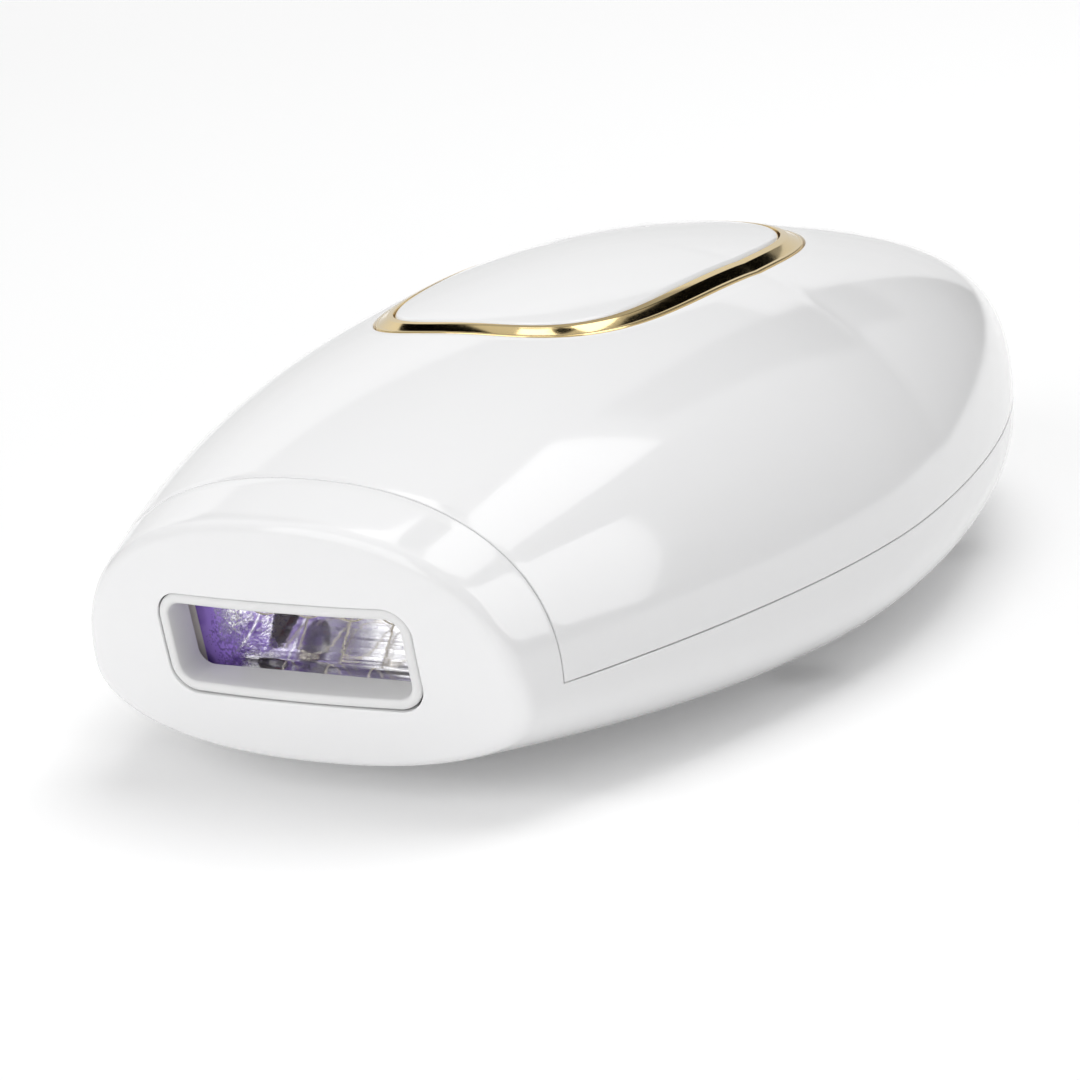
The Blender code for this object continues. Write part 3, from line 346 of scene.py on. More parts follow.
def boolean(obj, operation, *others):
    """Applies Booleans to an object, deletes the other ones and welds what the cuts leave."""
    weld = 1e-6
    for other in others:
        modifier = obj.modifiers.new("cut", 'BOOLEAN')
        modifier.operation = operation
        modifier.object = other
    seen = obj.evaluated_get(bpy.context.evaluated_depsgraph_get())
    mesh = bpy.data.meshes.new_from_object(seen)
    obj.modifiers.clear()
    obj.data = mesh
    bm = bmesh.new()
    bm.from_mesh(mesh)
    bmesh.ops.remove_doubles(bm, verts=bm.verts, dist=weld)
    bmesh.ops.dissolve_degenerate(bm, edges=bm.edges, dist=weld)
    bm.to_mesh(mesh)
    bm.free()
    mesh.validate()
    for other in others:
        bpy.data.objects.remove(other, do_unlink=True)
    mesh.shade_smooth()
    mesh.set_sharp_from_angle(angle=math.radians(SHARP))
    return obj


def superellipse(half_x, half_y, exponent, count):
    angles = [2 * math.pi * index / count for index in range(count)]
    return [(half_x * math.cos(angle) * reach(angle, exponent),
             half_y * math.sin(angle) * reach(angle, exponent)) for angle in angles]


def rounded_rectangle(half_x, half_y, radius, steps=12, straight=10):
    """Outline with points along its sides too, counter-clockwise from the +X side's top."""
    points = []
    for quarter in range(4):
        sign_x = 1 if quarter in (0, 3) else -1
        sign_y = 1 if quarter in (0, 1) else -1
        arc = []
        for step in range(steps + 1):
            angle = (quarter + step / steps) * math.pi / 2
            arc.append((sign_x * (half_x - radius) + radius * math.cos(angle),
                        sign_y * (half_y - radius) + radius * math.sin(angle)))
        if points:
            points += between(points[-1], arc[0], straight)
        points += arc
    return points + between(points[-1], points[0], straight)


def between(a, b, count):
    """Points that divide a line evenly, without its ends."""
    return [(a[0] + (b[0] - a[0]) * i / count, a[1] + (b[1] - a[1]) * i / count)
            for i in range(1, count)]


def prism(outline, low, high):
    """Closed bmesh of an outline in XY, from one height to another."""
    rings = [[Vector((x, y, z)) for x, y in outline] for z in (low, high)]
    bm = skin(rings)
    bm.verts.ensure_lookup_table()
    count = len(outline)
    bm.faces.new(bm.verts[:count])
    bm.faces.new(bm.verts[count:])
    return facing_out(bm)


def turned(profile, sides=48):
    """Closed bmesh of revolution about Z; the profile starts and ends on the axis."""
    rings = []
    for radius, z in profile:
        if radius == 0:
            rings.append([Vector((0, 0, z))])
        else:
            rings.append([Vector((radius * math.cos(2 * math.pi * i / sides),
                                  radius * math.sin(2 * math.pi * i / sides), z))
                          for i in range(sides)])
    return facing_out(skin(rings))


def wire(points, radius, sides=10):
    """Closed bmesh of a round wire along a smooth row of points."""
    rings = []
    side = None
    for index, point in enumerate(points):
        ahead = points[min(index + 1, len(points) - 1)]
        behind = points[max(index - 1, 0)]
        along = (ahead - behind).normalized()
        if side is None:
            side = along.orthogonal().normalized()
        side = (side - side.dot(along) * along).normalized()
        other = along.cross(side)
        rings.append([point + radius * (math.cos(2 * math.pi * i / sides) * side
                                        + math.sin(2 * math.pi * i / sides) * other)
                      for i in range(sides)])
    return facing_out(skin([[points[0]], *rings, [points[-1]]]))


def helix(radius, height, turns, steps=40):
    """Points of a coil round Z that rises from the XY plane."""
    points = []
    for index in range(round(turns * steps) + 1):
        angle = 2 * math.pi * index / steps
        points.append(Vector((radius * math.cos(angle), radius * math.sin(angle),
                              height * index / (turns * steps))))
    return points


# --- casings

def mouth_y(angle):
    """Where a row of the casing, running back at this angle, meets the inlet's hole."""
    def outside(y):
        point = body_point(y, angle)
        return math.hypot(point.x, point.z - INLET_Z) > INLET_MOUTH
    return bisect(outside, LENGTH * NEAR_TAIL, LENGTH * 0.99999)


def crown_casing():
    """Upper casing: spokes run from the key's opening to the seam, parting line and tail."""
    def edge_lift(y):
        return math.asin(min(1.0, JOINT_GAP / 2 / (crown(y) - parting(y))))

    def row_y(angle, t):
        start = seam_y(angle) + JOINT_GAP / 2
        return start + (LENGTH - start) * math.sin(math.pi / 2 * t)

    def row_t(angle, y):
        start = seam_y(angle) + JOINT_GAP / 2
        return math.asin((y - start) / (LENGTH - start)) * 2 / math.pi

    front, side, back, rows = 46, 84, 26, 30
    corner = edge_lift(SEAM + SEAM_BOW)
    mouth = edge_lift(mouth_y(ABOVE_PARTING))
    last_t = row_t(mouth, mouth_y(mouth))
    outline = []
    for index in range(front):
        outline.append((corner + (math.pi - 2 * corner) * index / front, 0.0))
    for index in range(side):
        t = last_t * index / side
        outline.append((math.pi - edge_lift(row_y(0, t)), t))
    for index in range(back):
        angle = math.pi - mouth - (math.pi - 2 * mouth) * index / back
        outline.append((angle, row_t(angle, mouth_y(angle))))
    for index in range(side):
        t = last_t * (1 - index / side)
        outline.append((edge_lift(row_y(0, t)), t))

    centre = (math.pi / 2, row_t(math.pi / 2, KEY_Y))
    half_x, half_y = RING_HALF_X + GAP, RING_HALF_Y + GAP
    spokes = []
    for angle_end, t_end in outline:
        def at(share):
            angle = centre[0] + (angle_end - centre[0]) * share
            t = centre[1] + (t_end - centre[1]) * share
            return body_point(row_y(angle, t), angle)

        def in_opening(share):
            point = at(share)
            return (abs(point.x / half_x) ** RING_POWER
                    + abs((point.y - KEY_Y) / half_y) ** RING_POWER) < 1
        first = bisect(in_opening, 0.0, 1.0)
        spokes.append([at(first + (1 - first) * index / rows) for index in range(rows + 1)])
    bm = skin([list(ring) for ring in zip(*spokes)])
    face_outwards(bm, Vector((0, LENGTH / 2, PARTING)))
    thicken(bm, WALL, FILLET)
    return mesh_piece("upper_shell", bm)


def window_point(direction):
    """Point of the window's edge in a direction given in the window's own proportions."""
    dx, dh = WINDOW_HALF_X * math.cos(direction), WINDOW_HALF_Z * math.sin(direction)

    def inside(share):
        over_x = abs(dx) * share - (WINDOW_HALF_X - WINDOW_RADIUS)
        over_h = abs(dh) * share - (WINDOW_HALF_Z - WINDOW_RADIUS)
        if over_x > 0 and over_h > 0:
            return math.hypot(over_x, over_h) < WINDOW_RADIUS
        return max(over_x, over_h) < WINDOW_RADIUS
    share = bisect(inside, 0.0, 2.0)
    return dx * share, dh * share


def nose_columns():
    """Columns of the nose, from the window's edge over the face and round its edge to the seam."""
    face_rings, edge_rings, side_rings = 12, 5, 5
    share = 1 - FACE_EDGE / FACE_HALF_WIDTH
    columns = []
    for index in range(COLUMNS):
        angle = 2 * math.pi * index / COLUMNS
        near = body_point(FACE_EDGE, angle)
        upper = near.z >= FACE_Z
        tall, exponent = (FACE_UP, FACE_POWER_UP) if upper else (FACE_DOWN, FACE_POWER_DOWN)
        direction = math.atan2((near.z - FACE_Z) / math.cos(TILT) / tall, near.x / FACE_HALF_WIDTH)
        out = reach(direction, exponent)
        face_x = FACE_HALF_WIDTH * math.cos(direction) * out
        face_h = tall * math.sin(direction) * out
        window_x, window_h = window_point(direction)
        window_h += WINDOW_H
        column = []
        for ring in range(face_rings + 1):
            t = ring / face_rings
            column.append(on_face(window_x + (share * face_x - window_x) * t,
                                  window_h + (share * face_h - window_h) * t))
        a = column[-1]
        edge_y = on_face(face_x, face_h).y
        corner = body_point(edge_y, angle)
        b = body_point(edge_y + FACE_EDGE, angle)
        for ring in range(1, edge_rings + 1):
            t = ring / edge_rings
            column.append((1 - t) ** 2 * a + 2 * t * (1 - t) * corner + t * t * b)
        end = seam_y(angle) - JOINT_GAP / 2
        for ring in range(1, side_rings + 1):
            y = b.y + (end - b.y) * ring / side_rings
            column.append(body_point(y, angle))
        columns.append(column)
    return columns


def belly_casing():
    """Lower casing, one with the nose surround."""
    columns = nose_columns()
    bm = skin([list(ring) for ring in zip(*columns)])
    bm.verts.ensure_lookup_table()
    start_row = bm.verts[len(bm.verts) - COLUMNS:]
    under = [index % COLUMNS for index in range(COLUMNS // 2, COLUMNS + 1)]
    previous = [start_row[index] for index in under]
    rows = 76
    start = seam_y(0) - JOINT_GAP / 2
    ends = []
    for index in under:
        angle = 2 * math.pi * index / COLUMNS
        low, high = math.pi + BELOW_PARTING, 2 * math.pi - BELOW_PARTING
        ends.append(mouth_y(min(max(angle, low), high) if index else -BELOW_PARTING))
    for row in range(1, rows + 1):
        new_row = []
        for index, end in zip(under, ends):
            angle = 2 * math.pi * index / COLUMNS if index else 2 * math.pi
            last_t = math.asin((end - start) / (LENGTH - start))
            y = start + (LENGTH - start) * math.sin(last_t * row / rows)
            lift = math.asin(min(1.0, JOINT_GAP / 2 / (parting(y) - keel(y))))
            angle = min(max(angle, math.pi + lift), 2 * math.pi - lift)
            new_row.append(bm.verts.new(body_point(y, angle)))
        for index in range(len(under) - 1):
            bm.faces.new((previous[index], previous[index + 1],
                          new_row[index + 1], new_row[index]))
        previous = new_row
    face_outwards(bm, Vector((0, LENGTH / 2, PARTING)))
    thicken(bm, WALL, FILLET)
    obj = mesh_piece("lower_shell", bm)
    boolean(obj, 'UNION', *[screw_boss(side * x, y) for x, y in CASING_SCREWS for side in (-1, 1)])
    cutters = [screw_cutter(side * x, y) for x, y in CASING_SCREWS for side in (-1, 1)]
    for count, half_x, first in VENTS:
        cutters += [vent_cutter(half_x, first + VENT_PITCH * row) for row in range(count)]
    return boolean(obj, 'DIFFERENCE', window_cutter(), *cutters)


def window_outline(inset, steps=12, straight=10):
    """Outline of the window's edge, moved inwards."""
    return rounded_rectangle(WINDOW_HALF_X - inset, WINDOW_HALF_Z - inset,
                             WINDOW_RADIUS - inset, steps, straight)


def window_cutter():
    """Straight passage for the contact frame, a hair inside the window's edge."""
    passage = prism(window_outline(0.00004), -0.006, 0.003)
    return mesh_piece("window_passage", passage, WINDOW_UPRIGHT)


def screw_boss(x, y):
    """Pillar that stands on the belly's wall up to the parting plane."""
    sides = 32
    low, high = [], []
    for index in range(sides):
        turn = 2 * math.pi * index / sides
        at_x, at_y = x + BOSS_RADIUS * math.cos(turn), y + BOSS_RADIUS * math.sin(turn)
        low.append(Vector((at_x, at_y, belly_at(at_x, at_y) + WALL / 2)))
        high.append(Vector((at_x, at_y, parting(y) - GAP)))
    bm = skin([[Vector((x, y, belly_at(x, y) + WALL / 2))], low, high,
               [Vector((x, y, parting(y) - GAP))]])
    return mesh_piece("boss", facing_out(bm))


def screw_cutter(x, y):
    """Wide bore up to the seat of a screw's head, then a narrow one for its shaft."""
    low, seat, high = -0.010, parting(y) - SCREW_SEAT + GAP, 0.030
    bore = turned([(0, low), (HEAD_BORE, low), (HEAD_BORE, seat), (SHAFT_BORE, seat),
                   (SHAFT_BORE, high), (0, high)])
    return mesh_piece("screw_bore", bore, NOSE_DATUM @ Matrix.Translation((x, y, 0)))


def vent_cutter(half_x, y):
    """Slot through the belly with round ends."""
    half_y, rounding = 0.001, 0.00098
    bm = prism(rounded_rectangle(half_x, half_y, rounding, 8, 12), -0.003, 0.009)
    return mesh_piece("vent", bm, NOSE_DATUM @ Matrix.Translation((0, y, 0)))


# --- key and trim ring

def outline_ring(outset, drop, scale=1.0):
    """Ring that lies on the crown: outset from the trim's outer edge, drop below the crown.

    Inside that edge an outset shrinks, most at the front, so the trim is narrower there."""
    ring = []
    for x, y in superellipse(1, 1, RING_POWER, AROUND_KEY):
        share = SIDE_WIDTH - FRONT_NARROWING * ramp(-y, 0.3, 0.9) if outset < 0 else 1.0
        x = scale * x * (RING_HALF_X + outset * share)
        y = scale * y * (RING_HALF_Y + outset * share)
        ring.append(Vector((x, KEY_Y + y, crown_at(x, KEY_Y + y) - drop)))
    return ring


def gold_trim():
    """Ring with a flat inner band, a crisp outer bevel and a hidden flange."""
    top, band = RING_RISE / MM + 0.05, RING_BAND / MM
    profile = [(-band, 2.2), (-band, 0.08 - top), (-band + 0.03, 0.03 - top),
               (-band + 0.08, -top), (-1.78, -top), (-1.72, -top + 0.01), (-1.66, -top + 0.04),
               (-0.44, 0.03), (-0.39, 0.04), (-0.34, 0.03), (-0.22, 0.02), (-0.08, 0.04),
               (-0.02, 0.08), (0, 0.14), (0, 2.7), (1.2, 2.7), (1.2, 3.5), (-1.1, 3.5),
               (-1.1, 2.2)]
    bm = hoop([outline_ring(outset * MM, drop * MM) for outset, drop in profile])
    return mesh_piece("gold_trim", bm)


def key_cap():
    """Key with a softly rounded edge, its skirt and flange, spring seat and stem."""
    edge = -RING_BAND / MM - 0.2
    rise = RING_RISE / MM + 0.1
    round_in, round_down, ceiling = 0.8, 0.55, 1.6
    rings = [[Vector((0, KEY_Y, crown_at(0, KEY_Y) + rise * MM))]]
    for scale in (0.1, 0.25, 0.4, 0.55, 0.7, 0.82, 0.91):
        rings.append(outline_ring((edge - round_in) * MM, -rise * MM, scale))
    for turn in (0, 15, 30, 45, 60, 75, 90):
        inward = round_in * (1 - math.sin(math.radians(turn)))
        down = round_down * (1 - math.cos(math.radians(turn)))
        rings.append(outline_ring((edge - inward) * MM, (down - rise) * MM))
    for outset, drop in ((0, 2.6), (1.1, 2.6), (1.1, 3.4), (-1.4, 3.4), (-1.4, ceiling)):
        rings.append(outline_ring((edge + outset) * MM, drop * MM))
    rings.append(outline_ring(edge * MM, ceiling * MM, 0.5))
    rings.append([Vector((0, KEY_Y, crown_at(0, KEY_Y) - ceiling * MM))])
    obj = mesh_piece("key_cap", facing_out(skin(rings)))
    at = NOSE_DATUM @ Matrix.Translation((0, KEY_Y, 0))
    foot = PLUNGER_TOP + GAP
    post = turned([(0, foot), (0.0017, foot), (0.0020, foot + 0.0003), (0.0020, SEAT_Z),
                   (0.0060, SEAT_Z), (0.0064, SEAT_Z + 0.0004), (0.0064, SEAT_Z + 0.0020),
                   (0, SEAT_Z + 0.0020)])
    return boolean(obj, 'UNION', mesh_piece("post", post, at))


# --- window, lamp and reflector

def window_loop(inset, depth, follow=0.0):
    """Ring round the window's axis, inset from its opening; follow 1 bends it with the face."""
    ring = []
    for x, h in window_outline(inset):
        setback = face_setback(x, h + WINDOW_H) * math.cos(TILT)
        ring.append(Vector((x, depth + follow * setback, h)))
    return ring


def contact_rim():
    """Frame round the window with a rounded lip, and the flange that its springs push.

    outer, inner and relief, behind the lip, are insets from the opening in millimetres."""
    outer, inner, lip, relief = 0.14, 1.25, 0.36, 0.4
    profile = [(relief, FRAME_DEPTH / MM - 0.1, 0), (relief, lip + 0.3, 1)]
    for turn in range(0, 181, 20):
        side = math.cos(math.radians(turn))
        up = math.sin(math.radians(turn))
        profile.append(((outer + inner) / 2 - side * (inner - outer) / 2, lip * (1 - up), 1))
    profile += [(inner, lip + 0.9, 1), (inner, FRAME_DEPTH / MM - 0.1, 0)]
    bm = hoop([window_loop(inset * MM, depth * MM, follow) for inset, depth, follow in profile])
    obj = mesh_piece("contact_rim", bm, WINDOW_AXIS, sharp=50)
    half_x, wing, low, high = 0.0162, 0.0206, -0.0066, 0.0070
    ear, tab, top = 0.0022, 0.0026, HOLDER_HALF_H + 0.0030
    outline = [(-half_x, low), (half_x, low), (half_x, -ear), (wing, -ear), (wing, ear),
               (half_x, ear), (half_x, high), (tab, high), (tab, top), (-tab, top),
               (-tab, high), (-half_x, high), (-half_x, ear), (-wing, ear), (-wing, -ear),
               (-half_x, -ear)]
    rear, thick = FRAME_DEPTH, 0.0007
    flange = mesh_piece("flange", prism(outline, -rear, thick - rear), WINDOW_UPRIGHT)
    hole = prism(window_outline((outer + inner) / 2 * MM, 6, 2), -rear - 0.001, 0.001)
    boolean(flange, 'DIFFERENCE', mesh_piece("hole", hole, WINDOW_UPRIGHT))
    return boolean(obj, 'UNION', flange)


def ring_about_x(radius, x, sides=64):
    return [Vector((x, LAMP_D + radius * math.cos(2 * math.pi * i / sides),
                    LAMP_H + radius * math.sin(2 * math.pi * i / sides))) for i in range(sides)]


def lamp_glass():
    """Quartz tube with fire-polished ends."""
    half, polish = LAMP_HALF_LENGTH, 0.00012
    profile = [(LAMP_RADIUS, half - polish), (LAMP_RADIUS - polish, half),
               (LAMP_BORE + polish, half), (LAMP_BORE, half - polish),
               (LAMP_BORE, polish - half), (LAMP_BORE + polish, -half),
               (LAMP_RADIUS - polish, -half), (LAMP_RADIUS, polish - half)]
    return mesh_piece("lamp_glass", hoop([ring_about_x(r, x) for r, x in profile]), WINDOW_AXIS)


def trigger_winding():
    """Thin wire wound in open loops round the quartz tube."""
    radius = 0.0001
    start = Vector((LAMP_D, LAMP_H, -LAMP_SPAN / 2))
    coil = [start + point
            for point in helix(LAMP_RADIUS + GAP + radius, LAMP_SPAN, TRIGGER_TURNS, 48)]
    return mesh_piece("trigger_winding", wire(coil, radius), ALONG_LAMP)


def reflector_trough():
    """Half-elliptical sheet behind the lamp, with cheeks that the lamp passes through.

    Its lips spread by a flare, and the passages leave the lamp a little play."""
    half_x = CAVITY_HALF_X - GAP
    half_h = CAVITY_HALF_H - GAP - REFLECTOR_SHEET
    flare, play = 0.0004, 0.0001
    arc = [math.radians(-90 + 180 * step / 64) for step in range(65)]

    def bow(reach_out):
        curve = [(REFLECTOR_FRONT + (REFLECTOR_DEPTH + reach_out) * math.cos(a),
                  (half_h + reach_out) * math.sin(a)) for a in arc]
        return [(REFLECTOR_LIP, curve[0][1] - flare), *curve,
                (REFLECTOR_LIP, curve[-1][1] + flare)]
    section = bow(0) + bow(REFLECTOR_SHEET)[::-1]
    rings = [[Vector((x, d, h)) for d, h in section]
             for x in np.linspace(-half_x, half_x, 13)]
    bm = skin(rings)
    bm.verts.ensure_lookup_table()
    count = len(section)
    for row in (0, len(rings) - 1):
        ends = bm.verts[row * count:(row + 1) * count]
        for index in range(count // 2 - 1):
            bm.faces.new((ends[index], ends[index + 1],
                          ends[count - 2 - index], ends[count - 1 - index]))
    obj = mesh_piece("reflector_trough", facing_out(bm), WINDOW_AXIS)
    outline = bow(REFLECTOR_SHEET / 2)
    passage = superellipse(LAMP_RADIUS + play, LAMP_RADIUS + play, 2, 48)
    passage = [(LAMP_D + d, LAMP_H + h) for d, h in passage]
    for side in (-1, 1):
        low, high = sorted((side * half_x, side * (half_x - CHEEK)))
        cheek = mesh_piece("cheek", prism(outline, low, high), ALONG_LAMP)
        hole = mesh_piece("passage", prism(passage, low - GAP, high + GAP), ALONG_LAMP)
        boolean(cheek, 'DIFFERENCE', hole)
        boolean(obj, 'UNION', cheek)
    return obj


# --- springs, screws, inlet

def return_springs():
    """Key spring and the two frame springs, each with its joint, the way that joint presses it, its
    anchor and the share of its length it keeps when pressed.
    """
    thick = 0.00025
    bottom = SWITCH_FOOT + thick
    height = SEAT_Z - GAP - thick - bottom
    at = NOSE_DATUM @ Matrix.Translation((0, KEY_Y, bottom))
    key_spring = mesh_piece("key_spring", wire(helix(0.0054, height, 3.5), thick), at)
    anchor = at @ Vector((0, 0, -thick))
    springs = [(key_spring, "flash_button_spring", "flash_button_press", (0, 0, 1), anchor,
                1 - KEY_TRAVEL / (height + 2 * thick))]
    thin = 0.0002
    start = FRAME_DEPTH + GAP + thin
    length = SPRING_SHELF - GAP - thin - start
    inwards = WINDOW_AXIS.to_3x3() @ Vector((0, 1, 0))
    for side, word in ((-1, "right"), (1, "left")):
        at = (WINDOW_AXIS @ Matrix.Translation((side * FRAME_SPRING_X, start, 0))
              @ Matrix.Rotation(-math.pi / 2, 4, 'X'))
        spring = mesh_piece("frame_spring_" + word, wire(helix(0.0014, length, 2.5, 24), thin), at)
        anchor = WINDOW_AXIS @ Vector((side * FRAME_SPRING_X, SPRING_SHELF - GAP, 0))
        springs.append((spring, "contact_spring_" + word, "contact_frame_press", inwards, anchor,
                        1 - FRAME_TRAVEL / (length + 2 * thin)))
    return springs


def casing_screws():
    """Pan-head screws with a cross recess, pointing up into the upper casing's pillars."""
    profile = [(0, 0.0110), (0.0002, 0.0110), (0.0012, 0.0098)]
    thread = [(0.0012 - 0.00022 * (step % 2), 0.0096 - 0.0003 * step) for step in range(29)]
    head = [(0.0012, 0), (0.0023, 0), (0.0024, -0.0001), (0.0024, -0.0006), (0.0022, -0.0010),
            (0.0018, -0.0013), (0.0011, -0.0015), (0, -0.0015)]
    made = []
    words = ("front_right", "front_left", "rear_right", "rear_left")
    places = [(side * x, y) for x, y in CASING_SCREWS for side in (-1, 1)]
    for word, (x, y) in zip(words, places):
        at = NOSE_DATUM @ Matrix.Translation((x, y, parting(y) - SCREW_SEAT))
        obj = mesh_piece("case_screw_" + word, turned(profile + thread + head, 32), at)
        blade = rounded_rectangle(0.0015, 0.00028, 0.0002, 3, 1)
        cuts = [mesh_piece("slot", prism(blade, -0.003, -0.0007),
                           at @ Matrix.Rotation(turn, 4, 'Z')) for turn in (0.4, 0.4 + math.pi / 2)]
        made.append((boolean(obj, 'DIFFERENCE', *cuts), "casing_screw_" + word))
    return made


def inlet_axis(y):
    """Frame at this place on the DC inlet's axis, its Z out of the tail."""
    return (NOSE_DATUM @ Matrix.Translation((0, y, INLET_Z))
            @ Matrix.Rotation(-math.pi / 2, 4, 'X'))


def inlet_socket():
    """Barrel and block of the DC inlet behind the tail's hole."""
    front = TAIL_TIP - 0.0020
    block_front, block = LENGTH - 0.0097, 0.0110
    facing = inlet_axis(front)
    radius, bore, bottom, rear = INLET_MOUTH - GAP, 0.0029, -0.0115, -0.0140
    barrel = turned([(0, bottom), (bore, bottom), (bore, -0.0003), (bore + 0.0003, 0),
                     (radius - 0.0002, 0), (radius, -0.0002), (radius, rear), (0, rear)], 64)
    obj = mesh_piece("inlet_socket", barrel, facing)
    outline = rounded_rectangle(0.0045, 0.0045, 0.0004, 3, 1)
    deep = front - block_front
    housing = mesh_piece("housing", prism(outline, -deep - block, -deep), facing)
    hollow = mesh_piece("hollow", turned([(0, bottom), (bore, bottom), (bore, 0.001), (0, 0.001)],
                                         64), facing)
    boolean(housing, 'DIFFERENCE', hollow)
    return boolean(obj, 'UNION', housing)


def inlet_pin():
    pin = turned([(0, 0), (0.0010, 0), (0.0010, 0.0083), (0.0009, 0.0086), (0.0006, 0.0089),
                  (0, 0.0090)], 32)
    return mesh_piece("inlet_contact", pin, inlet_axis(TAIL_TIP - 0.0132))


# --- materials

def node(tree, kind, inputs=(), **settings):
    """New shader node with its inputs set, or linked where a socket is given."""
    made = tree.nodes.new(kind)
    for key, value in settings.items():
        setattr(made, key, value)
    for key, value in dict(inputs).items():
        if isinstance(value, bpy.types.NodeSocket):
            tree.links.new(value, made.inputs[key])
        else:
            made.inputs[key].default_value = value
    return made


def mixed(tree, share, first, second):
    """Colour between two colours or sockets, by a share from 0 to 1."""
    made = node(tree, 'ShaderNodeMix', data_type='RGBA')
    for index, value in ((0, share), (6, first), (7, second)):
        if isinstance(value, bpy.types.NodeSocket):
            tree.links.new(value, made.inputs[index])
        else:
            made.inputs[index].default_value = value
    return made.outputs[2]


def spread(tree, value, low, high, to_low=0.0, to_high=1.0):
    """A value mapped from one range to another, and held at its ends."""
    made = node(tree, 'ShaderNodeMapRange',
                {'Value': value, 'From Min': low, 'From Max': high,
                 'To Min': to_low, 'To Max': to_high})
    return made.outputs['Result']


def calculate(tree, operation, first, second):
    return node(tree, 'ShaderNodeMath', {0: first, 1: second}, operation=operation).outputs[0]


def noise(tree, where, scale, detail=3.0):
    return node(tree, 'ShaderNodeTexNoise',
                {'Vector': where, 'Scale': scale, 'Detail': detail}).outputs['Fac']


def bump(tree, height, strength, depth):
    """Normal of a relief, its depth in millimetres."""
    return node(tree, 'ShaderNodeBump', {'Height': height, 'Strength': strength,
                                         'Distance': depth * MM}).outputs['Normal']


def shade(colour, factor):
    return tuple(min(1.0, channel * factor) for channel in colour) + (1.0,)


def surface(name, colour, roughness, metallic=0.0, mottle=0.03, cloud=120.0, grain=900.0,
            stretch=(1, 1, 1), relief=0.05, depth=0.02, **sockets):
    """Finish with clouded colour, uneven gloss and a fine relief, all in object space.

    cloud and grain are the noise's repeats per metre; relief is a Bump strength and depth its
    height in millimetres."""
    material = bpy.data.materials.new(name)
    material.use_nodes = True
    tree = material.node_tree
    shader = tree.nodes['Principled BSDF']
    where = node(tree, 'ShaderNodeTexCoord').outputs['Object']
    stretched = node(tree, 'ShaderNodeMapping', {'Vector': where, 'Scale': stretch})
    stretched = stretched.outputs['Vector']
    clouds = noise(tree, stretched, cloud)
    grains = noise(tree, stretched, grain, 4.0)
    tone = mixed(tree, clouds, shade(colour, 1 - mottle), shade(colour, 1 + mottle))
    tree.links.new(tone, shader.inputs['Base Color'])
    gloss = spread(tree, grains, 0.3, 0.7, roughness * 0.8, roughness * 1.2)
    tree.links.new(gloss, shader.inputs['Roughness'])
    tree.links.new(bump(tree, grains, relief, depth), shader.inputs['Normal'])
    shader.inputs['Metallic'].default_value = metallic
    for key, value in sockets.items():
        shader.inputs[key.replace('_', ' ')].default_value = value
    return material, tree, shader, where, tone, grains


def relink(tree, output, shader, socket):
    for link in list(shader.inputs[socket].links):
        tree.links.remove(link)
    tree.links.new(output, shader.inputs[socket])


def split(tree, where):
    return node(tree, 'ShaderNodeSeparateXYZ', {'Vector': where}).outputs


def circuit_board():
    """Green solder mask over copper tracks, with tinned pads."""
    material, tree, shader, where, tone, _ = surface(
        "circuit_board", (0.04, 0.20, 0.09), 0.38, cloud=60, grain=2500, relief=0.1)
    tracks = node(tree, 'ShaderNodeTexBrick', {'Vector': where, 'Scale': 260.0,
                                               'Mortar Size': 0.06, 'Mortar Smooth': 0.1,
                                               'Brick Width': 1.6, 'Row Height': 0.42})
    lines = tracks.outputs['Fac']
    tracked = mixed(tree, lines, tone, (0.09, 0.34, 0.15, 1))
    pads = node(tree, 'ShaderNodeTexVoronoi', {'Vector': where, 'Scale': 330.0})
    pad = spread(tree, pads.outputs['Distance'], 0.16, 0.20, 1.0, 0.0)
    relink(tree, mixed(tree, pad, tracked, (0.72, 0.70, 0.64, 1)), shader, 'Base Color')
    tree.links.new(spread(tree, pad, 0, 1, 0.0, 0.9), shader.inputs['Metallic'])
    relink(tree, bump(tree, lines, 0.35, 0.04), shader, 'Normal')
    return material


def copper_winding():
    """Enamelled turns lying side by side, with painted shade in the hollows between them."""
    material, tree, shader, where, tone, _ = surface(
        "copper_winding", (0.72, 0.34, 0.16), 0.28, 1.0, cloud=300, grain=1500)
    turns = node(tree, 'ShaderNodeTexWave', {'Vector': where, 'Scale': 520.0, 'Distortion': 0.6,
                                             'Detail': 1.0},
                 bands_direction='Z').outputs['Fac']
    # painted shade: the copper is darker in the hollows between the turns
    relink(tree, mixed(tree, turns, (0.30, 0.11, 0.05, 1), tone), shader, 'Base Color')
    relink(tree, bump(tree, turns, 0.8, 0.15), shader, 'Normal')
    return material


def capacitor_sleeve():
    """Dark shrink sleeve with a pale stripe down one side."""
    material, tree, shader, where, tone, _ = surface(
        "capacitor_sleeve", (0.04, 0.05, 0.11), 0.30, cloud=90, grain=600, relief=0.12)
    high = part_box("flash_capacitor")[1]
    stripe = spread(tree, split(tree, where)['X'], high.x - 0.0035, high.x - 0.0032)
    relink(tree, mixed(tree, stripe, tone, (0.62, 0.64, 0.66, 1)), shader, 'Base Color')
    return material


def ferrite():
    """Sintered grey-black ceramic with bright specks."""
    material, tree, shader, _, tone, grains = surface(
        "ferrite", (0.09, 0.09, 0.10), 0.55, mottle=0.25, cloud=400, grain=4000, relief=0.4)
    specks = spread(tree, grains, 0.66, 0.70)
    relink(tree, mixed(tree, specks, tone, (0.22, 0.22, 0.24, 1)), shader, 'Base Color')
    return material


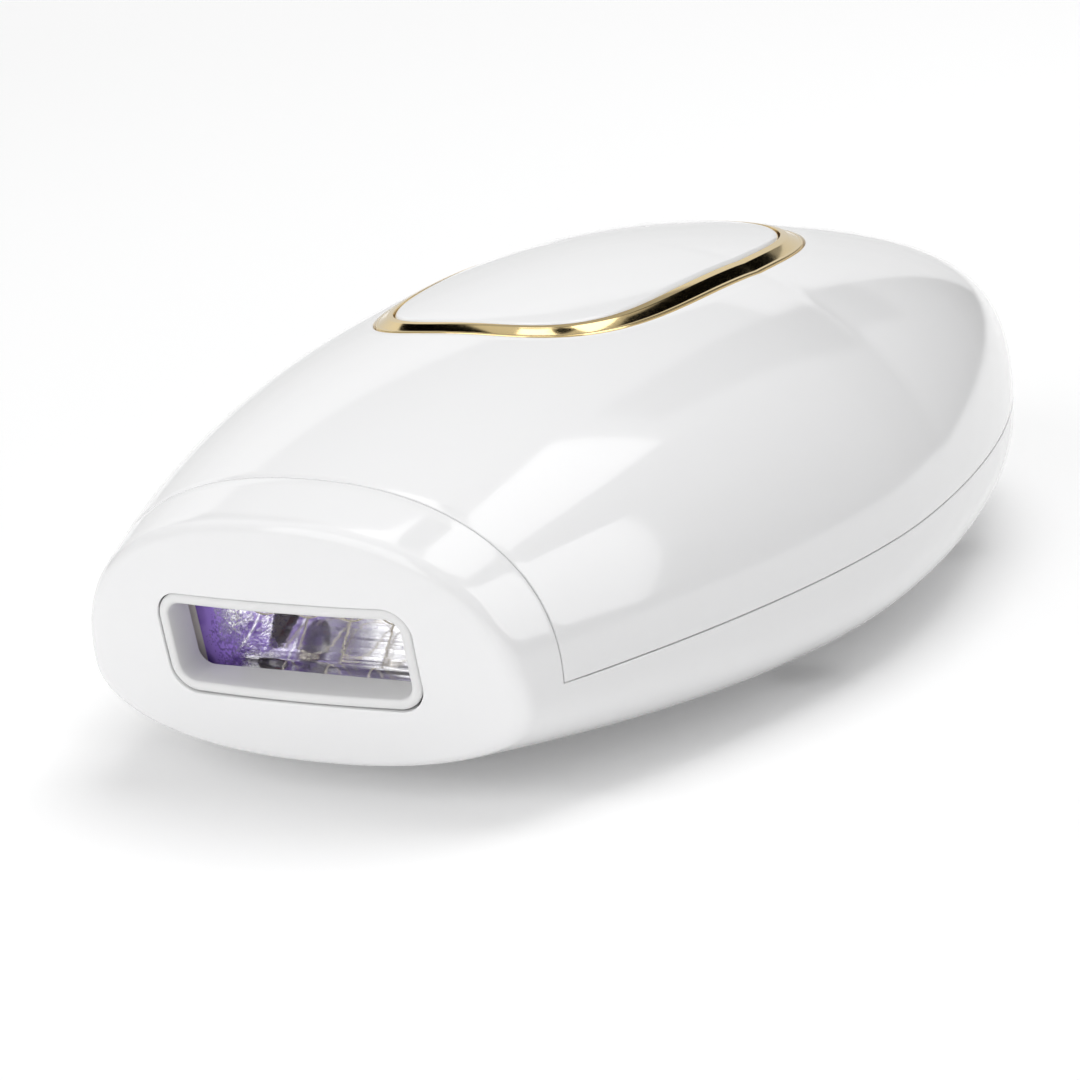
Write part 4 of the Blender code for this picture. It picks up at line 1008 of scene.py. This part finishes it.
def painted_violet_reflection(tree, where, full, gone, wander):
    """Share of a painted violet reflection of a coating, breaking up into flecks from one x to
    another, and its tint, a deeper violet towards the first x.
    """
    flecks = noise(tree, where, 3200.0, 3.0)
    drift = calculate(tree, 'MULTIPLY', noise(tree, where, 300.0, 2.0), wander)
    place = calculate(tree, 'ADD', split(tree, where)['X'], drift)
    fade = spread(tree, place, full, gone, 1.0, 0.0)
    share = spread(tree, calculate(tree, 'ADD', fade, flecks), 0.62, 0.98)
    deep = spread(tree, place, full, (2 * full + gone) / 3, 1.0, 0.0)
    return share, mixed(tree, deep, (0.36, 0.22, 0.74, 1), (0.075, 0.018, 0.32, 1))


def reflector_sheet():
    """Bright rolled sheet; at its right end, bar the cheek, a painted violet reflection of its
    coating fades into flecks.
    """
    material, tree, shader, where, tone, _ = surface(
        "mirror_aluminium", (0.96, 0.96, 0.98), 0.08, 1.0, mottle=0.04, cloud=60, grain=500,
        stretch=(0.05, 1, 1), relief=0.6, depth=0.08)
    # painted reflection: the coating's violet is painted into the sheet's colour, and the sheet is
    # less metallic there
    violet, tint = painted_violet_reflection(tree, where, -0.0122, -0.0045, 0.008)
    cheek = CHEEK - CAVITY_HALF_X + GAP
    past_cheek = spread(tree, split(tree, where)['X'], cheek, CHEEK - CAVITY_HALF_X + 2 * GAP)
    violet = calculate(tree, 'MULTIPLY', violet, past_cheek)
    relink(tree, mixed(tree, violet, tone, tint), shader, 'Base Color')
    tree.links.new(spread(tree, violet, 0, 1, 1.0, 0.25), shader.inputs['Metallic'])
    return material


def filter_pane():
    """Clear pane with a painted violet reflection of its coating at its right end, and a cream band
    at each end where it is bonded.
    """
    material, tree, shader, where, tone, _ = surface(
        "filter_glass", (0.86, 0.82, 0.75), 0.03, mottle=0.02, relief=0.01, IOR=1.45)
    side = calculate(tree, 'ABSOLUTE', split(tree, where)['X'], 0.0)
    band = spread(tree, side, PANE_BAND, PANE_BAND + 0.0001)
    # painted reflection: the coating's violet is painted into the pane's colour and makes the pane
    # mostly opaque there
    violet, tint = painted_violet_reflection(tree, where, -0.0122, -0.0052, 0.006)
    clear = mixed(tree, violet, (0.03, 0.02, 0.05, 1), tint)
    relink(tree, mixed(tree, band, clear, tone), shader, 'Base Color')
    relink(tree, spread(tree, band, 0, 1, 0.03, 0.4), shader, 'Roughness')
    cover = calculate(tree, 'MAXIMUM', band, calculate(tree, 'MULTIPLY', violet, 0.8))
    tree.links.new(spread(tree, cover, 0, 1, 0.08, 1.0), shader.inputs['Alpha'])
    return material


def quartz():
    """Clear tube, seen mostly by its edges."""
    material, tree, shader, *_ = surface("quartz", (0.90, 0.90, 0.92), 0.03, mottle=0.01,
                                         relief=0.01, IOR=1.458)
    edge = node(tree, 'ShaderNodeLayerWeight', {'Blend': 0.5}).outputs['Facing']
    tree.links.new(spread(tree, edge, 0.6, 1.0, 0.03, 0.5), shader.inputs['Alpha'])
    return material


def plain(name, *values, **settings):
    return surface(name, *values, **settings)[0]


def make_materials():
    """One procedural material for each of the record's slots."""
    made = [
        plain("white_gloss_abs", (0.85, 0.85, 0.855), 0.11, mottle=0.006, cloud=25, grain=420,
              relief=0.03, depth=0.01, Coat_Weight=0.35, Coat_Roughness=0.04),
        plain("pale_gold", (0.90, 0.70, 0.36), 0.10, 1.0, mottle=0.02, cloud=70, grain=2200,
              relief=0.03),
        plain("light_grey_pc", (0.78, 0.78, 0.78), 0.36, mottle=0.02, cloud=160, grain=2600,
              relief=0.10),
        plain("cream_pbt", (0.86, 0.82, 0.75), 0.48, mottle=0.03, cloud=140, grain=1800,
              relief=0.15),
        plain("plain_aluminium", (0.63, 0.64, 0.65), 0.36, 1.0, mottle=0.05, grain=1400,
              stretch=(1, 1, 0.06), relief=0.3),
        plain("tungsten", (0.45, 0.44, 0.42), 0.38, 1.0, mottle=0.12, cloud=500, grain=4000,
              relief=0.3),
        plain("nickel_wire", (0.88, 0.82, 0.68), 0.24, 0.6, mottle=0.08, cloud=400,
              relief=0.05),
        plain("silicone", (0.74, 0.24, 0.16), 0.58, mottle=0.05, cloud=200, grain=2500,
              relief=0.25, Sheen_Weight=0.15),
        plain("spring_steel", (0.58, 0.58, 0.60), 0.26, 1.0, mottle=0.05, grain=3000,
              stretch=(1, 1, 0.3), relief=0.1),
        plain("screw_steel", (0.50, 0.50, 0.51), 0.32, 1.0, mottle=0.08, cloud=350,
              grain=3200, relief=0.2),
        plain("black_plastic", (0.025, 0.025, 0.027), 0.42, mottle=0.15, grain=2400,
              relief=0.25),
        plain("red_lead", (0.60, 0.05, 0.04), 0.42, mottle=0.06, cloud=300, grain=1500,
              relief=0.1),
        plain("white_lead", (0.78, 0.78, 0.76), 0.42, mottle=0.04, cloud=300, grain=1500,
              relief=0.1),
        plain("brass", (0.80, 0.60, 0.28), 0.22, 1.0, mottle=0.06, cloud=400, grain=3000,
              stretch=(1, 0.1, 1), relief=0.1),
        circuit_board(), copper_winding(), capacitor_sleeve(), ferrite(), reflector_sheet(),
        filter_pane(), quartz(),
    ]
    return {material.name: material for material in made}


# --- pieces on their bodies

slot_of = {row["node"]: row["material_slot"] for row in frame["record"]["subparts"]}
for material in list(bpy.data.materials):
    material.name = "packed_" + material.name
MATERIALS = make_materials()

for name, obj in frame["nodes"].items():
    obj.data.materials.clear()
    obj.data.materials.append(MATERIALS[slot_of[name]])


def stand_for(piece, cad_node, body="handset"):
    """Puts a piece in place of a CAD node, on the node's body and with its finish."""
    slot = slot_of[cad_node]
    piece.data.materials.clear()
    piece.data.materials.append(MATERIALS[slot])
    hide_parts(cad_node)
    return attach(piece, body)


stand_for(crown_casing(), "upper_casing")
stand_for(belly_casing(), "lower_casing")
stand_for(gold_trim(), "trim_ring")
stand_for(key_cap(), "flash_button", "flash_button")
stand_for(contact_rim(), "contact_frame", "contact_frame")
stand_for(lamp_glass(), "flash_lamp")
stand_for(trigger_winding(), "trigger_wire")
stand_for(reflector_trough(), "lamp_reflector")
stand_for(inlet_socket(), "dc_inlet")
stand_for(inlet_pin(), "dc_inlet_pin")
for screw, cad_node in casing_screws():
    stand_for(screw, cad_node)
for spring, cad_node, joint, axis, anchor, keep in return_springs():
    stand_for(spring, cad_node)
    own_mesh(spring)


# --- floor, light and camera

def stage_floor():
    """Pale floor whose faint glow keeps the shadows soft."""
    bm = bmesh.new()
    bmesh.ops.create_grid(bm, x_segments=1, y_segments=1, size=6.0)
    floor = mesh_piece("floor", bm, Matrix.Identity(4))
    material = bpy.data.materials.new("pale_floor")
    material.use_nodes = True
    shader = material.node_tree.nodes['Principled BSDF']
    shader.inputs['Base Color'].default_value = (0.84, 0.84, 0.84, 1)
    shader.inputs['Emission Color'].default_value = (1, 1, 1, 1)
    shader.inputs['Emission Strength'].default_value = 0.11
    shader.inputs['Roughness'].default_value = 0.9
    shader.inputs['Specular IOR Level'].default_value = 0.1
    floor.data.materials.append(material)


def softbox(name, centre, across, up, radiance, only=None):
    """Rectangular light whose sides are two vectors; it shines against their cross product.

    Only 'GLOSS' makes it show in reflections alone, and only 'DIFFUSE' not at all in them."""
    across, up = Vector(across), Vector(up)
    light = bpy.data.lights.new(name, 'AREA')
    light.shape = 'RECTANGLE'
    light.size, light.size_y = across.length, up.length
    light.energy = 4 * radiance * light.size * light.size_y
    obj = bpy.data.objects.new(name, light)
    bpy.context.scene.collection.objects.link(obj)
    outward = across.cross(up).normalized()
    obj.matrix_world = Matrix.Translation(centre) @ Matrix(
        (across.normalized(), up.normalized(), outward)).transposed().to_4x4()
    obj.visible_diffuse = only != 'GLOSS'
    obj.visible_glossy = only != 'DIFFUSE'
    obj.visible_camera = False
    return obj


def towards(azimuth, elevation):
    """Direction by its turn from +Y to +X and its height over the floor, in degrees."""
    azimuth, elevation = math.radians(azimuth), math.radians(elevation)
    return Vector((math.sin(azimuth) * math.cos(elevation),
                   math.cos(azimuth) * math.cos(elevation), math.sin(elevation)))


def panel(name, azimuth, elevation, wide, high, radiance):
    """Softbox a metre away that faces the object."""
    middle = towards(azimuth, elevation)
    across = Vector((-middle.y, middle.x, 0)).normalized()
    return softbox(name, middle, across * wide, middle.cross(across) * high, radiance)


def dark_flag(tree, direction, azimuth, elevation, half_across, half_up, roll=0):
    """1 outside a black flag seen in this direction, and 0 on it; sizes in degrees."""
    middle = towards(azimuth, elevation)
    across = Vector((middle.y, -middle.x, 0)).normalized()
    up = across.cross(middle)
    turn = math.radians(roll)
    across, up = (across * math.cos(turn) + up * math.sin(turn),
                  up * math.cos(turn) - across * math.sin(turn))
    share = None
    for axis, half in ((across, half_across), (up, half_up)):
        along = node(tree, 'ShaderNodeVectorMath', {0: direction, 1: axis},
                     operation='DOT_PRODUCT').outputs['Value']
        edge = math.sin(math.radians(half))
        inside = spread(tree, calculate(tree, 'ABSOLUTE', along, 0.0), edge - 0.012, edge + 0.012,
                        1.0, 0.0)
        share = inside if share is None else calculate(tree, 'MULTIPLY', share, inside)
    ahead = node(tree, 'ShaderNodeVectorMath', {0: direction, 1: middle},
                 operation='DOT_PRODUCT').outputs['Value']
    share = calculate(tree, 'MULTIPLY', share, spread(tree, ahead, 0.0, 0.1))
    return calculate(tree, 'SUBTRACT', 1.0, share)


SKY_LOW, SKY_HIGH = 0.26, 0.70          # level at right angles to its brightest point, and there
SKY_TOP = (-0.10, -0.30, 0.95)
# azimuth, elevation, half across, half up and roll in degrees
FLAGS = ((4, 36, 5.5, 15, -16), (9, 72, 5, 5, 0), (-68, 46, 11, 15, 0))
STRIP_DEPTH, STRIP_RADIANCE = 0.0070, 1.15
STRIPS = ((0.0034, 0.0026), (0.0006, 0.0012), (-0.0028, 0.0010))    # height and width


def studio():
    """Soft sky with black flags, softboxes, and lights for the reflector's inside.

    The card before the nose and the strips behind the pane show in reflections only. The
    window is seen through several clear walls, so light may pass or bounce many times."""
    world = bpy.data.worlds.new("studio")
    bpy.context.scene.world = world
    world.use_nodes = True
    tree = world.node_tree
    direction = node(tree, 'ShaderNodeTexCoord').outputs['Generated']
    height = node(tree, 'ShaderNodeVectorMath', {0: direction, 1: Vector(SKY_TOP).normalized()},
                  operation='DOT_PRODUCT').outputs['Value']
    level = spread(tree, height, 0.0, 1.0, SKY_LOW, SKY_HIGH)
    for flag in FLAGS:
        level = calculate(tree, 'MULTIPLY', level, dark_flag(tree, direction, *flag))
    background = tree.nodes['Background']
    background.inputs['Color'].default_value = (1, 1, 1, 1)
    tree.links.new(level, background.inputs['Strength'])
    softbox("overhead_light", (0.38, 0.36, 1.0), (0.39, 0.17, 0), (-0.26, 0.61, 0), 1.35)
    softbox("small_light", (-0.12, 0.20, 1.05), (0.25, 0.11, 0), (-0.10, 0.24, 0), 1.3, 'GLOSS')
    softbox("side_light", (1.0, 0.13, 0.65), (0, 0.67, -0.20), (0, 0.28, 0.91), 1.6, 'GLOSS')
    softbox("key_light", (0.10, 0.28, 1.15), (0.8, 0, 0), (0, 0.8, 0), 2.3, 'DIFFUSE')
    panel("front_light", -167, 26, 0.7, 0.8, 1.3)
    panel("rear_light", -38, 18, 1.2, 0.6, 0.35)
    softbox("bounce_card", (0, -0.19, 0.001), (0.40, 0, 0), (0, 0.26, 0), 1.2, 'GLOSS')
    turn = WINDOW_AXIS.to_3x3()
    for row, (height, width) in enumerate(STRIPS):
        softbox("lamp_strip_%d" % row, WINDOW_AXIS @ Vector((0, STRIP_DEPTH, height)),
                turn @ Vector((LAMP_SPAN, 0, 0)), turn @ Vector((0, 0, width)),
                STRIP_RADIANCE, 'GLOSS')
    light_paths = bpy.context.scene.cycles
    light_paths.max_bounces = 24
    light_paths.glossy_bounces = 12
    light_paths.transparent_max_bounces = 64
    bpy.context.scene.view_settings.view_transform = 'Standard'


def camera():
    """Three-quarter view on the nose from a little above, the camera slightly rolled."""
    azimuth, elevation, roll = math.radians(30.05), math.radians(14.84), math.radians(-4.65)
    distance, shift_right, shift_up = 0.3918, -0.00844, -0.01042
    aim = Vector((0, -0.0034, 0.01965))
    back = Vector((math.sin(azimuth) * math.cos(elevation),
                   -math.cos(azimuth) * math.cos(elevation), math.sin(elevation)))
    level = Vector((math.cos(azimuth), math.sin(azimuth), 0))
    upright = back.cross(level)
    right = math.cos(roll) * level + math.sin(roll) * upright
    up = math.cos(roll) * upright - math.sin(roll) * level
    place = Matrix((right, up, back)).transposed().to_4x4()
    place.translation = aim + shift_right * right + shift_up * up + distance * back
    data = bpy.data.cameras.new("camera")
    data.sensor_width, data.lens = 36.0, 114.07
    data.clip_start = 0.01
    obj = bpy.data.objects.new("camera", data)
    bpy.context.scene.collection.objects.link(obj)
    obj.matrix_world = place
    bpy.context.scene.camera = obj


stage_floor()
studio()
camera()
